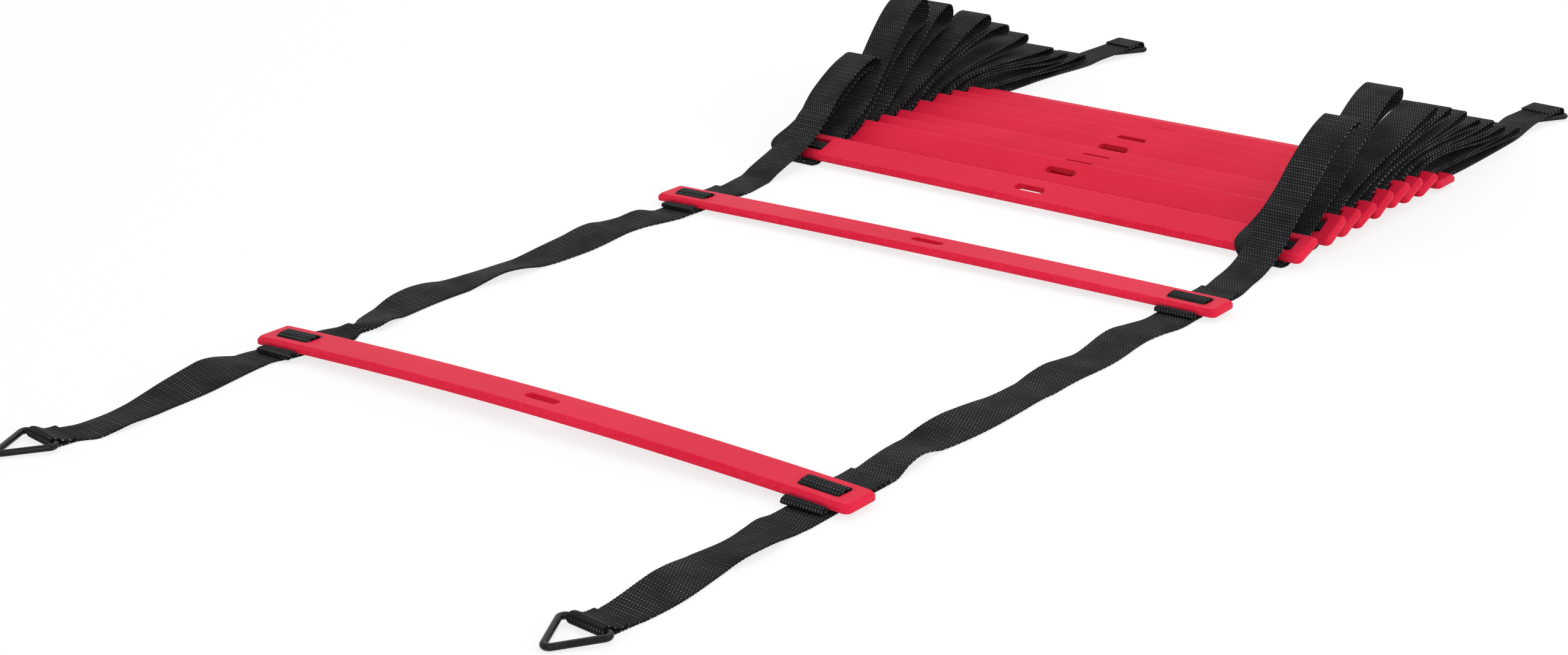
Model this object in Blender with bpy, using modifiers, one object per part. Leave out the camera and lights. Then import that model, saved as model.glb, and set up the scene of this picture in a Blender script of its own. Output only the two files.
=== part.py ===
"""Agility ladder for footwork training, partly unrolled.

Eleven flat plastic rungs are held by two long webbing side straps. The first two rungs lie
spread out on the floor. The other nine stand shingled in a stack, and the webbing between them
is folded into loops that lean back over the pile. Lengths are in metres, and Z is up. Rung 1 is
laid out at the origin, and the whole ladder is moved at the end so that the middle of its
footprint is at the origin.
"""
import math

import bmesh
import bpy
import numpy as np
from mathutils import Matrix, Vector

# Rungs
RUNG_LENGTH = 0.500
RUNG_WIDTH = 0.031
RUNG_THICKNESS = 0.0056
RUNG_BEVEL = 0.0024
RUNG_CORNER = 0.006
SLOT_INSET = 0.02765
SLOT_LENGTH = 0.0309
SLOT_WIDTH = 0.0155
SLOT_CORNER = 0.0012
BAR_WIDTH = 0.0052
BAR_DROP = 0.0018
BAR_LIFT = 0.0003
BAR_EMBED = 0.001
BAR_ROUND = 0.0011
HOLE_LENGTH = 0.028
HOLE_WIDTH = 0.0074
CUT_OVERRUN = 0.004

# Webbing
WEB_WIDTH = 0.030
WEB_THICKNESS = 0.0014
GAP = 0.0003
FRONT_FLAP = 0.0145
REAR_FLAP = 0.030
HEM_LENGTH = 0.0065
HEM_RADIUS = 0.0011
BEND_RADIUS = 0.0018

# Spacing of the rungs and of the folds between the straps' pieces
BAY = 0.4259
STACK_BAY = 0.440
STACK_GAP = 0.0870
STACK_STEP = 0.0307
FOLD_SPACE = 0.006
BELLY_REACH = 0.0022
SECOND_SHIFT = 0.0048
FLOOR_RUN = 0.030
FIRST_RISE = 0.017

# Rings and the strap ends that hold them
WIRE = 0.004
RING_BAR = 0.0286
RING_CORNER = 0.0032
END_WIDTH = 0.028
FRONT_HEM = 0.0165
REAR_HEM = 0.022
TAIL_REACH = 0.0435
TAIL_LENGTH = 0.1495
FRONT_BAR_REACH = 0.027
REAR_BAR_REACH = 0.2413

# Turns and tilts, in degrees
SECOND_TURN = 0.67
STACK_TURN = 2.3
STACK_TILTS = (19.5, 28.0, 25.0, 21.0, 26.5, 22.0, 22.0, 18.5, 1.0)
RING_ANGLE = 63.0

# How far the middle of the two loose rungs is arched up
FIRST_ARCH = 0.0061
SECOND_ARCH = 0.0017

# Steps from one stacked rung to the next, as shares of the stack's step, and how far each
# is held up by the webbing under it, as shares of a rung's thickness
STEP_SHARES = (0.0, 1.58, 0.80, 0.86, 1.02, 0.92, 0.80, 0.88, 1.07)
LIFT_SHARES = (0.0, 0.16, 0.30, 0.34, 0.27, 0.62, 0.25, 0.07, 0.0)

HALF_WIDTH = RUNG_WIDTH / 2
HALF_SLOTS = RUNG_LENGTH / 2 - SLOT_INSET
HALF_WEB = WEB_THICKNESS / 2
KEEPER_LEVEL = -(GAP + HALF_WEB)
STRAP_LEVEL = KEEPER_LEVEL - WEB_THICKNESS - GAP
OVER_LEVEL = RUNG_THICKNESS + GAP + HALF_WEB
BAR_LEVEL = RUNG_THICKNESS - BAR_DROP + GAP + HALF_WEB
SEAT_HEIGHT = 2 * (WEB_THICKNESS + GAP)
BELLY_RADIUS = (OVER_LEVEL - STRAP_LEVEL) / 2
BELLY_MIDDLE = (OVER_LEVEL + STRAP_LEVEL) / 2
EYE_RADIUS = WIRE / 2 + GAP + HALF_WEB
BAR_HEIGHT = EYE_RADIUS + HALF_WEB
SIDES = (("left", -1), ("right", 1))
UP = Vector((0, 0, 1))

for old in list(bpy.data.objects):
    bpy.data.objects.remove(old, do_unlink=True)

PARTS = bpy.data.collections.new("agility_ladder")
CUTTERS = bpy.data.collections.new("cutters")
bpy.context.scene.collection.children.link(PARTS)
bpy.context.scene.collection.children.link(CUTTERS)


def material(name, colour, roughness, metallic):
    """A Principled material with one colour."""
    made = bpy.data.materials.new(name)
    made.use_nodes = True
    shader = made.node_tree.nodes["Principled BSDF"]
    shader.inputs["Base Color"].default_value = (*colour, 1.0)
    shader.inputs["Roughness"].default_value = roughness
    shader.inputs["Metallic"].default_value = metallic
    made.diffuse_color = (*colour, 1.0)
    return made


def empty(name, place, parent):
    """A joint or a frame that carries other pieces."""
    made = bpy.data.objects.new(name, None)
    made.empty_display_size = RUNG_WIDTH
    made.matrix_basis = place
    PARTS.objects.link(made)
    carry(made, parent)
    return made


def carry(obj, parent):
    """Parents a piece and keeps it where it lies."""
    bpy.context.view_layer.update()
    if parent is not None:
        obj.parent = parent
        obj.matrix_parent_inverse = parent.matrix_world.inverted()
    bpy.context.view_layer.update()


def add_part(name, mesh, place, parent, surface):
    """Puts a mesh in the scene as a named piece with a material of its own."""
    obj = bpy.data.objects.new(name, mesh)
    obj.matrix_basis = place
    PARTS.objects.link(obj)
    colour, roughness, metallic = surface
    obj.data.materials.clear()
    obj.data.materials.append(material(name + "_material", colour, roughness, metallic))
    carry(obj, parent)
    return obj


RED_PLASTIC = ((0.72, 0.02, 0.035), 0.38, 0.0)
BLACK_WEBBING = ((0.012, 0.012, 0.014), 0.85, 0.0)
BLACK_WIRE = ((0.015, 0.015, 0.017), 0.25, 0.6)


# Curves in a plane, given as rows of points

def along(angle):
    """The unit vector at an angle in degrees."""
    turn = math.radians(angle)
    return np.array([math.cos(turn), math.sin(turn)])


def bow(start, first, second, end, count):
    """A cubic curve from start to end with two control points."""
    t = np.linspace(0, 1, count)[:, None]
    s = 1 - t
    return s**3 * start + 3 * s**2 * t * first + 3 * s * t**2 * second + t**3 * end


def arc(centre, radius, first, last, count):
    """Points on a circle from one angle to another, in degrees."""
    turn = np.radians(np.linspace(first, last, count))
    return centre + radius * np.stack([np.cos(turn), np.sin(turn)], axis=-1)


def rounded(points, radius, count):
    """The corners of a path, each replaced by an arc."""
    points = [np.array(point, dtype=float) for point in points]
    path = [points[0]]
    for before, corner, after in zip(points[:-2], points[1:-1], points[2:]):
        back = (before - corner) / np.linalg.norm(before - corner)
        ahead = (after - corner) / np.linalg.norm(after - corner)
        half = math.acos(float(np.clip(back @ ahead, -1, 1))) / 2
        inset = radius / math.tan(half)
        middle = back + ahead
        middle = corner + middle / np.linalg.norm(middle) * radius / math.sin(half)
        start = corner + back * inset - middle
        end = corner + ahead * inset - middle
        for t in np.linspace(0, 1, count):
            swing = start * (1 - t) + end * t
            path.append(middle + swing / np.linalg.norm(swing) * radius)
    path.append(points[-1])
    return np.array(path)


def length_of(path):
    """The length of a path of points."""
    return float(np.linalg.norm(np.diff(path, axis=0), axis=1).sum())


def ease(value):
    """A smooth rise from 0 to 1."""
    value = np.clip(value, 0, 1)
    return value * value * (3 - 2 * value)


def normals_of(path):
    """The unit normals on the left of a path."""
    step = np.gradient(path, axis=0)
    step /= np.linalg.norm(step, axis=1)[:, None]
    return np.stack([-step[:, 1], step[:, 0]], axis=-1)


def first_stretch(path, wanted):
    """The start of a path, cut off at a length."""
    out = [path[0]]
    done = 0.0
    for here, there in zip(path[:-1], path[1:]):
        step = float(np.linalg.norm(there - here))
        if done + step >= wanted:
            out.append(here + (there - here) * (wanted - done) / step)
            break
        out.append(there)
        done += step
    return np.array(out)


# Rungs

def box_mesh(size, corner, steps):
    """A block with its upright edges rounded."""
    mesh = bpy.data.meshes.new("block")
    shape = bmesh.new()
    bmesh.ops.create_cube(shape, size=1.0)
    bmesh.ops.scale(shape, vec=size, verts=shape.verts)
    upright = [e for e in shape.edges if abs(e.verts[0].co.z - e.verts[1].co.z) > size[2] / 2]
    bmesh.ops.bevel(shape, geom=upright, offset=corner, segments=steps, profile=0.5,
                    affect="EDGES")
    shape.to_mesh(mesh)
    shape.free()
    return mesh


def tool(name, mesh, place):
    """A cutter or a filler for a Boolean, kept out of the model."""
    obj = bpy.data.objects.new(name, mesh)
    obj.location = place
    obj.hide_render = True
    obj.display_type = "WIRE"
    CUTTERS.objects.link(obj)
    return obj


slot_size = (SLOT_LENGTH, SLOT_WIDTH, RUNG_THICKNESS + 2 * CUT_OVERRUN)
hole_size = (HOLE_LENGTH, HOLE_WIDTH, RUNG_THICKNESS + 2 * CUT_OVERRUN)
bar_height = RUNG_THICKNESS - BAR_DROP - BAR_LIFT
middle_height = RUNG_THICKNESS / 2
slot_mesh = box_mesh(slot_size, SLOT_CORNER, 2)
hole_mesh = box_mesh(hole_size, HOLE_WIDTH * 0.49, 4)

bar_mesh = bpy.data.meshes.new("bar")
bar_shape = bmesh.new()
bmesh.ops.create_cube(bar_shape, size=1.0)
bmesh.ops.scale(bar_shape, vec=(SLOT_LENGTH + 2 * BAR_EMBED, BAR_WIDTH, bar_height),
                verts=bar_shape.verts)
bar_edges = [e for e in bar_shape.edges
             if e.verts[0].co.z > 0 and e.verts[1].co.z > 0
             and abs(e.verts[0].co.x - e.verts[1].co.x) > SLOT_LENGTH / 2]
bmesh.ops.bevel(bar_shape, geom=bar_edges, offset=BAR_ROUND, segments=2, profile=0.5,
                affect="EDGES")
bar_shape.to_mesh(bar_mesh)
bar_shape.free()

hole_cutter = tool("hole_cutter", hole_mesh, (0, 0, middle_height))
slot_cutters = [tool("slot_cutter_" + side, slot_mesh, (sign * HALF_SLOTS, 0, middle_height))
                for side, sign in SIDES]
bars = [tool("slot_bar_" + side, bar_mesh,
             (sign * HALF_SLOTS, 0, BAR_LIFT + bar_height / 2))
        for side, sign in SIDES]


def rung_mesh():
    """A rung with a bevelled top, a hole in the middle and a barred slot at each end."""
    mesh = box_mesh((RUNG_LENGTH, RUNG_WIDTH, RUNG_THICKNESS), RUNG_CORNER, 3)
    shape = bmesh.new()
    shape.from_mesh(mesh)
    rim = [e for e in shape.edges if e.verts[0].co.z > 0 and e.verts[1].co.z > 0]
    bmesh.ops.bevel(shape, geom=rim, offset=RUNG_BEVEL, segments=1, affect="EDGES")
    bmesh.ops.translate(shape, vec=(0, 0, middle_height), verts=shape.verts)
    shape.to_mesh(mesh)
    shape.free()
    blank = bpy.data.objects.new("rung_blank", mesh)
    CUTTERS.objects.link(blank)
    for other, how in ((hole_cutter, "DIFFERENCE"), (slot_cutters[0], "DIFFERENCE"),
                       (slot_cutters[1], "DIFFERENCE"), (bars[0], "UNION"), (bars[1], "UNION")):
        step = blank.modifiers.new(other.name, "BOOLEAN")
        step.operation = how
        step.solver = "EXACT"
        step.object = other
    bpy.context.view_layer.update()
    ready = blank.evaluated_get(bpy.context.evaluated_depsgraph_get())
    cut = bpy.data.meshes.new_from_object(ready)
    bpy.data.objects.remove(blank)
    return cut


def arch_at(x, arch):
    """How high an arched rung lies above its ends at a place along it."""
    share = 2 * x / RUNG_LENGTH
    return arch * (1 - share * share)


def arched(mesh, arch):
    """A copy of the rung with its middle bowed up."""
    copy = mesh.copy()
    shape = bmesh.new()
    shape.from_mesh(copy)
    free = HALF_SLOTS - SLOT_LENGTH
    for x in np.linspace(-free, free, 11):
        geometry = shape.verts[:] + shape.edges[:] + shape.faces[:]
        bmesh.ops.bisect_plane(shape, geom=geometry, plane_co=(x, 0, 0), plane_no=(1, 0, 0))
    for vert in shape.verts:
        vert.co.z += arch_at(vert.co.x, arch)
    shape.to_mesh(copy)
    shape.free()
    return copy


# Straps

def strap(name, rows, pivot, parent):
    """A strip of webbing along rows of a middle point, a direction across and a width."""
    points = []
    for point, across, width in rows:
        points.append(point - across * width / 2 - pivot)
        points.append(point + across * width / 2 - pivot)
    faces = [(i, i + 1, i + 3, i + 2) for i in range(0, len(points) - 2, 2)]
    mesh = bpy.data.meshes.new(name)
    mesh.from_pydata(points, [], faces)
    obj = add_part(name, mesh, Matrix.Translation(pivot), parent, BLACK_WEBBING)
    shell = obj.modifiers.new("webbing", "SOLIDIFY")
    shell.thickness = WEB_THICKNESS
    shell.offset = 0.0
    shell.use_even_offset = True
    mesh.shade_smooth()
    mesh.set_sharp_from_angle(angle=math.radians(40))
    return obj


def lying(x, y, roll, turn=0.0):
    """A row of a strap on the floor, rolled so that its lower edge touches the floor."""
    roll = math.radians(roll)
    turn = math.radians(turn)
    height = HALF_WEB * math.cos(roll) + WEB_WIDTH / 2 * abs(math.sin(roll))
    across = Vector((math.cos(roll) * math.cos(turn), math.cos(roll) * math.sin(turn),
                     math.sin(roll)))
    return Vector((x, y, height)), across, WEB_WIDTH


# Where the straps bend: the fold lines between the pieces of strap
FRONT_FOLD = -(HALF_WIDTH + FRONT_FLAP + FOLD_SPACE)
FIRST_REAR_FOLD = HALF_WIDTH + REAR_FLAP + FOLD_SPACE
SECOND_FRONT_FOLD = BAY + FRONT_FOLD
CREASE = BAY + FIRST_REAR_FOLD

# How far the strap lies from its slot's line, as shares of its width, and its roll in degrees
TAIL_DRIFT_SHARES = {
    "left": (-0.35, -0.30, -0.22, -0.14, -0.07, -0.03, -0.01, 0.00, 0.03, 0.10, 0.16, 0.16, 0.12),
    "right": (0.07, 0.04, 0.05, 0.10, 0.10, 0.05, 0.00, 0.04, 0.10, 0.15, 0.17, 0.16, 0.13),
}
TAIL_ROLLS = {
    "left": (0, -7, -14, -18, -17, -14, -10, -5, -1, 2, 4, 2, 0),
    "right": (0, -2, 3, 7, 8, 6, 1, -4, -8, -10, -8, -4, 0),
}
BAY_DRIFT_SHARES = {
    "left": (0.20, 0.06, -0.11, -0.20, -0.24, -0.26, -0.25, -0.21, -0.14, -0.09, -0.04, 0.01,
             0.04, 0.05, 0.01, -0.08, -0.16, -0.12, 0.04, 0.16),
    "right": (0.03, -0.05, -0.11, -0.11, -0.03, 0.03, 0.05, 0.04, 0.02, 0.02, 0.03, 0.02, 0.03,
              0.07, 0.09, 0.06, 0.00, -0.03, 0.03, 0.13),
}
BAY_ROLLS = {
    "left": (0, 8, 2, -7, -10, -8, -2, 5, 10, 8, 2, -4, -8, -11, -14, -12, -5, -3, -8, 0),
    "right": (0, 7, 8, 1, -9, -13, -11, -7, -2, 1, 0, -4, -6, -3, 0, -2, -4, -4, -1, 0),
}

# Where the base of each ring lies: beside its slot's line and behind its usual place, as shares
# of the webbing's width, and how far it is turned, in degrees
FRONT_BAR_SHARES = {"left": (-0.162, 0.0), "right": (0.055, 0.0)}
REAR_BAR_SHARES = {"left": (0.728, 0.05), "right": (0.138, -0.05)}
FRONT_BAR_TURNS = {"left": -9.0, "right": -6.0}
REAR_BAR_TURNS = {"left": -8.0, "right": -8.0}


def slot_line(sign):
    """The line of the slots on one side."""
    return sign * HALF_SLOTS


def bar_place(sign, shares, y):
    """Where the base of a ring lies on the floor plan."""
    beside, behind = shares
    return Vector((slot_line(sign) + beside * WEB_WIDTH, y + behind * WEB_WIDTH, 0))


def second_place(x, y):
    """A place in the second rung's frame, on the floor plan."""
    turn = math.radians(SECOND_TURN)
    return (SECOND_SHIFT + x * math.cos(turn) - y * math.sin(turn),
            BAY + x * math.sin(turn) + y * math.cos(turn))


root = empty("ladder", Matrix.Identity(4), None)
crease_joint = empty("hinge_rung_2", Matrix.Translation((0, CREASE, WEB_THICKNESS)), root)
bay_joint = empty("hinge_bay_1", Matrix.Translation((0, SECOND_FRONT_FOLD, WEB_THICKNESS)),
                  crease_joint)
first_joint = empty("hinge_rung_1", Matrix.Translation((0, FIRST_REAR_FOLD, WEB_THICKNESS)),
                    bay_joint)

plain_rung = rung_mesh()
first_place = Matrix.Translation((0, 0, SEAT_HEIGHT))
second_matrix = (Matrix.Translation((SECOND_SHIFT, BAY, SEAT_HEIGHT))
                 @ Matrix.Rotation(math.radians(SECOND_TURN), 4, "Z"))
add_part("rung_01", arched(plain_rung, FIRST_ARCH), first_place, first_joint, RED_PLASTIC)
add_part("rung_02", arched(plain_rung, SECOND_ARCH), second_matrix, crease_joint, RED_PLASTIC)


# Keepers: the short webbing that is sewn on the strap and goes up over the slot's bar

def keeper_core():
    """The keeper's way through the slot, from the front of the slot to its rear."""
    low = SLOT_WIDTH / 2 - WEB_THICKNESS * 0.85
    high = BAR_WIDTH / 2 + WEB_THICKNESS * 0.55
    reach = low + 2 * BEND_RADIUS
    corners = [(-reach, KEEPER_LEVEL), (-low, KEEPER_LEVEL), (-high, BAR_LEVEL),
               (high, BAR_LEVEL), (low, KEEPER_LEVEL), (reach, KEEPER_LEVEL)]
    return rounded(corners, BEND_RADIUS, 3)


def flat_keeper(name, sign, place, parent, arch, lean):
    """A keeper at a loose rung, with a rolled hem in front and a plain end behind."""
    front = -(HALF_WIDTH + FRONT_FLAP)
    rear = HALF_WIDTH + REAR_FLAP
    hem = arc(np.array([front + HEM_RADIUS, KEEPER_LEVEL + HEM_RADIUS]), HEM_RADIUS, 90, 270, 6)
    path = [np.array([front + HEM_LENGTH, KEEPER_LEVEL + 2 * HEM_RADIUS])]
    path += list(hem)
    path.append(np.array([-HALF_WIDTH - FRONT_FLAP / 3, KEEPER_LEVEL]))
    path += list(keeper_core())
    path.append(np.array([HALF_WIDTH + REAR_FLAP / 6, KEEPER_LEVEL]))
    path.append(np.array([HALF_WIDTH + REAR_FLAP / 2, KEEPER_LEVEL]))
    path.append(np.array([rear, KEEPER_LEVEL]))
    rows = []
    for u, v in path:
        x = slot_line(sign)
        under = 1 - ease((abs(u) - HALF_WIDTH * 1.1) / (FRONT_FLAP * 0.5))
        slope = -8 * arch * x / RUNG_LENGTH**2 * under
        sewn = ease((abs(u) - HALF_WIDTH * 0.6) / (FRONT_FLAP * 0.6))
        point = Vector((x + lean(u) * sewn, u, v + arch_at(x, arch) * under))
        across = Vector((1, 0, slope)).normalized()
        rows.append((place @ point, place.to_3x3() @ across, WEB_WIDTH))
    return strap(name, rows, place @ Vector((slot_line(sign), 0, 0)), parent)


def tail_lean(side):
    """How the strap under rung 1 slants from its front fold to its rear fold."""
    front = TAIL_DRIFT_SHARES[side][0] * WEB_WIDTH
    rear = BAY_DRIFT_SHARES[side][0] * WEB_WIDTH
    span = FIRST_REAR_FOLD - FRONT_FOLD
    return lambda u: front + (rear - front) * (u - FRONT_FOLD) / span


def no_lean(u):
    """A strap that runs straight through."""
    return 0.0


for side, sign in SIDES:
    flat_keeper("keeper_01_" + side, sign, first_place, first_joint, FIRST_ARCH, tail_lean(side))
    flat_keeper("keeper_02_" + side, sign, second_matrix, crease_joint, SECOND_ARCH, no_lean)

# Straps under the two loose rungs and between them
for side, sign in SIDES:
    lean = tail_lean(side)
    rows = []
    for y in np.linspace(FRONT_FOLD + GAP / 2, FIRST_REAR_FOLD - GAP / 2, 5):
        rows.append(lying(slot_line(sign) + lean(y), y, 0))
    strap("rung_1_strap_" + side, rows, Vector((slot_line(sign), FIRST_REAR_FOLD, WEB_THICKNESS)),
          first_joint)

    under_x, under_y = second_place(slot_line(sign), 0)
    rows = []
    for y in np.linspace(SECOND_FRONT_FOLD + GAP / 2, CREASE - GAP / 2, 5):
        rows.append(lying(under_x, y, 0))
    strap("rung_2_strap_" + side, rows, Vector((under_x, CREASE, WEB_THICKNESS)), crease_joint)

    drifts = BAY_DRIFT_SHARES[side]
    rows = []
    places = np.linspace(FIRST_REAR_FOLD + GAP / 2, SECOND_FRONT_FOLD - GAP / 2, len(drifts))
    for y, drift, roll in zip(places, drifts, BAY_ROLLS[side]):
        rows.append(lying(slot_line(sign) + drift * WEB_WIDTH, y, roll))
    strap("bay_1_strap_" + side, rows,
          Vector((slot_line(sign), SECOND_FRONT_FOLD, WEB_THICKNESS)), bay_joint)


# Rings: a rounded triangle of wire with its base in the strap's eye

def ring_mesh():
    """A closed triangle of wire. Its base is on X, and its tip points along -Y."""
    half_angle = math.radians(RING_ANGLE) / 2
    corner_x = RING_BAR / 2 + RING_CORNER / math.tan(half_angle)
    tip = corner_x * math.tan(math.radians(RING_ANGLE))
    corners = [(0, 0), (corner_x, 0), (0, -tip), (-corner_x, 0), (0, 0)]
    path = rounded(corners, RING_CORNER, 5)[:-1]
    wire = bpy.data.curves.new("ring_wire", "CURVE")
    wire.dimensions = "3D"
    wire.bevel_depth = WIRE / 2
    wire.bevel_resolution = 2
    line = wire.splines.new("POLY")
    line.points.add(len(path) - 1)
    line.use_cyclic_u = True
    for point, (x, y) in zip(line.points, path):
        point.co = (x, y, 0, 1)
    holder = bpy.data.objects.new("ring_wire", wire)
    CUTTERS.objects.link(holder)
    bpy.context.view_layer.update()
    ready = holder.evaluated_get(bpy.context.evaluated_depsgraph_get())
    mesh = bpy.data.meshes.new_from_object(ready)
    bpy.data.objects.remove(holder)
    shape = bmesh.new()
    shape.from_mesh(mesh)
    bmesh.ops.remove_doubles(shape, verts=shape.verts, dist=GAP / 10)
    bmesh.ops.recalc_face_normals(shape, faces=shape.faces)
    shape.to_mesh(mesh)
    shape.free()
    mesh.shade_smooth()
    low = min(vert.co.y for vert in mesh.vertices)
    return mesh, -low - WIRE / 2


ring, ring_reach = ring_mesh()
ring_dip = math.asin((BAR_HEIGHT - WIRE / 2) / ring_reach)


def ring_at(name, place, turn, parent):
    """A ring whose tip dips from the bar to the floor, ahead of the ladder or folded back."""
    spin = Matrix.Rotation(math.radians(turn), 4, "Z")
    place = Matrix.Translation(place) @ spin @ Matrix.Rotation(ring_dip, 4, "X")
    return add_part(name, ring, place, parent, BLACK_WIRE)


# Front tails: each runs forward on the floor, round the ring's base and back to a sewn end
for side, sign in SIDES:
    fold = Vector((slot_line(sign) + TAIL_DRIFT_SHARES[side][0] * WEB_WIDTH, FRONT_FOLD,
                   WEB_THICKNESS))
    joint = empty("hinge_front_tail_" + side, Matrix.Translation(fold), first_joint)
    turn = FRONT_BAR_TURNS[side]
    drifts = TAIL_DRIFT_SHARES[side]
    rows = []
    places = np.linspace(FRONT_FOLD - GAP / 2, FRONT_FOLD - TAIL_LENGTH, len(drifts))
    for index, (y, drift, roll) in enumerate(zip(places, drifts, TAIL_ROLLS[side])):
        share = index / (len(drifts) - 1)
        rows.append(lying(slot_line(sign) + drift * WEB_WIDTH, y, roll, turn * share**3))
    heading = Matrix.Rotation(math.radians(turn), 4, "Z")
    across = heading.to_3x3() @ Vector((1, 0, 0))
    bar = bar_place(sign, FRONT_BAR_SHARES[side], FRONT_FOLD - TAIL_LENGTH - FRONT_BAR_REACH)
    eye = arc(np.array([0.0, BAR_HEIGHT]), EYE_RADIUS, 270, 90, 9)
    top_layer = SEAT_HEIGHT - HALF_WEB
    settle = bow(np.array([0, BAR_HEIGHT + EYE_RADIUS]),
                 np.array([FRONT_HEM * 0.25, BAR_HEIGHT + EYE_RADIUS]),
                 np.array([FRONT_HEM * 0.35, top_layer]),
                 np.array([FRONT_HEM * 0.65, top_layer]), 6)
    loop = list(eye) + list(settle[1:]) + [np.array([FRONT_HEM, top_layer])]
    for back, height in loop:
        rows.append((bar + heading @ Vector((0, back, 0)) + UP * height, across, END_WIDTH))
    strap("front_tail_strap_" + side, rows[::-1], fold, joint)
    ring_at("ring_front_" + side, bar + UP * BAR_HEIGHT, turn, joint)


# The stack: where each of its rungs is seated

class Seat:
    """The place of a stacked rung, seen from its end: y, z and tilt."""

    def __init__(self, front, lift, tilt):
        self.tilt = tilt
        self.back = along(tilt)
        self.up = np.array([-self.back[1], self.back[0]])
        height = (BELLY_RADIUS + HALF_WEB + BELLY_REACH * self.back[1]
                  - BELLY_MIDDLE * self.back[0] + lift)
        self.origin = np.array([front, height]) + HALF_WIDTH * self.back

    def at(self, u, v):
        """A point u behind the rung's middle line and v above its underside."""
        return self.origin + u * self.back + v * self.up


seats = []
front_edge = CREASE + STACK_GAP
for step, lift, tilt in zip(STEP_SHARES, LIFT_SHARES, STACK_TILTS):
    front_edge += step * STACK_STEP
    seats.append(Seat(front_edge, lift * RUNG_THICKNESS, tilt))

stack_turn = math.radians(STACK_TURN)
rung_across = Vector((math.cos(stack_turn), -math.sin(stack_turn), 0))


def rung_matrix(seat):
    """The world placement of a stacked rung."""
    return (Matrix.Translation((0, seat.origin[0], seat.origin[1]))
            @ Matrix.Rotation(-stack_turn, 4, "Z")
            @ Matrix.Rotation(math.radians(seat.tilt), 4, "X"))


for index, seat in enumerate(seats):
    add_part("rung_%02d" % (index + 3), plain_rung.copy(), rung_matrix(seat), root, RED_PLASTIC)

# Loops of webbing over the stack. Each leans back from a rung's rear edge at an angle, ends at
# a heading, both in degrees, and turns over at its top. The half width of that turn is given as
# a share of the webbing's width.
LOOP_LEANS = {
    "left": (24.0, 27.0, 20.5, 16.5, 10.5, 5.0, 0.0, -2.5, -2.0),
    "right": (35.0, 22.5, 13.5, 11.5, 7.5, 3.0, 1.0, -1.5, -1.0),
}
LOOP_HEADINGS = {
    "left": (-2.0, 0.0, 0.0, 7.5, -9.5, 5.0, 0.0, 1.5, 2.0),
    "right": (9.0, -3.5, 11.0, 3.0, 9.0, -2.0, 5.0, 4.5, 1.0),
}
LOOP_NOSE_SHARES = {
    "left": (0.14, 0.38, 0.30, 0.20, 0.15, 0.12, 0.10, 0.093, 0.093),
    "right": (0.13, 0.24, 0.14, 0.11, 0.10, 0.097, 0.093, 0.093, 0.093),
}
LOOP_DRIFT_SHARES = {
    "left": (-0.14, -0.21, -0.21, -0.07, -0.07, -0.07, 0.0, 0.0, 0.0),
    "right": (0.07, -0.07, 0.0, 0.0, 0.0, 0.0, 0.0, 0.0, 0.0),
}
ROOT_HANDLE_SHARE = 0.20
TIP_HANDLE_SHARE = 0.30
LOOP_ROWS = 9


def loop_path(start, seat, lean, heading, nose, reach, rise):
    """One loop: up from start, over at the tip, back over the rung and round its front edge."""
    if rise:
        apart = rise
    else:
        level = float((start - seat.origin) @ seat.up)
        apart = max(level - OVER_LEVEL, WEB_THICKNESS + 2 * GAP)
    foot = seat.at(HALF_WIDTH, OVER_LEVEL + apart / 2)
    tip = foot + reach * along(lean)
    middle = bow(foot, foot + ROOT_HANDLE_SHARE * reach * seat.back,
                 tip - TIP_HANDLE_SHARE * reach * along(heading), tip, LOOP_ROWS)
    step = np.gradient(middle, axis=0)
    step[0] = seat.back
    step[-1] = along(heading)
    step /= np.linalg.norm(step, axis=1)[:, None]
    side_of = np.stack([-step[:, 1], step[:, 0]], axis=-1)
    share = np.linspace(0, 1, LOOP_ROWS)
    half = apart / 2 + (nose - apart / 2) * ease((share - 0.35) / 0.6)
    rising = middle + half[:, None] * side_of
    falling = (middle - half[:, None] * side_of)[::-1]
    top = arc(tip, nose, heading + 90, heading - 90, 6)[1:-1]
    if rise:
        lead = bow(start, start + FLOOR_RUN * along(6), rising[0] - FLOOR_RUN * along(42),
                   rising[0], 8)[:-1]
    else:
        lead = np.array([start])
    belly = arc(seat.at(-HALF_WIDTH - BELLY_REACH, BELLY_MIDDLE), BELLY_RADIUS, seat.tilt + 90,
                seat.tilt + 270, 7)
    up_path = np.vstack([lead, rising])
    path = np.vstack([up_path, top, falling, belly, seat.at(0, STRAP_LEVEL)[None]])
    return path, up_path


def fitted_loop(start, seat, side, index, length, rise):
    """The loop whose reach uses up the webbing of its bay."""
    nose = LOOP_NOSE_SHARES[side][index] * WEB_WIDTH
    lean = LOOP_LEANS[side][index]
    heading = LOOP_HEADINGS[side][index]
    short, long = RUNG_WIDTH, STACK_BAY
    for _ in range(40):
        reach = (short + long) / 2
        path, up_path = loop_path(start, seat, lean, heading, nose, reach, rise)
        if length_of(path) > length:
            long = reach
        else:
            short = reach
    return path, up_path


def stack_row(x, y, z):
    """A row of webbing over the stack, set back with the rungs' turn."""
    across = Vector((1, -math.tan(stack_turn), 0)).normalized()
    return Vector((x, y - x * math.tan(stack_turn), z)), across, WEB_WIDTH


def rear_point(side, sign, back, height):
    """A point in a rear end's own plane: back from the ring's bar, and above the bar."""
    heading = Matrix.Rotation(math.radians(REAR_BAR_TURNS[side]), 4, "Z")
    leave = seats[-1].at(HALF_WIDTH, STRAP_LEVEL)
    bar = bar_place(sign, REAR_BAR_SHARES[side], leave[0] + REAR_BAR_REACH)
    return bar - heading @ Vector((0, back, 0)) + UP * (BAR_HEIGHT + height)


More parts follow.
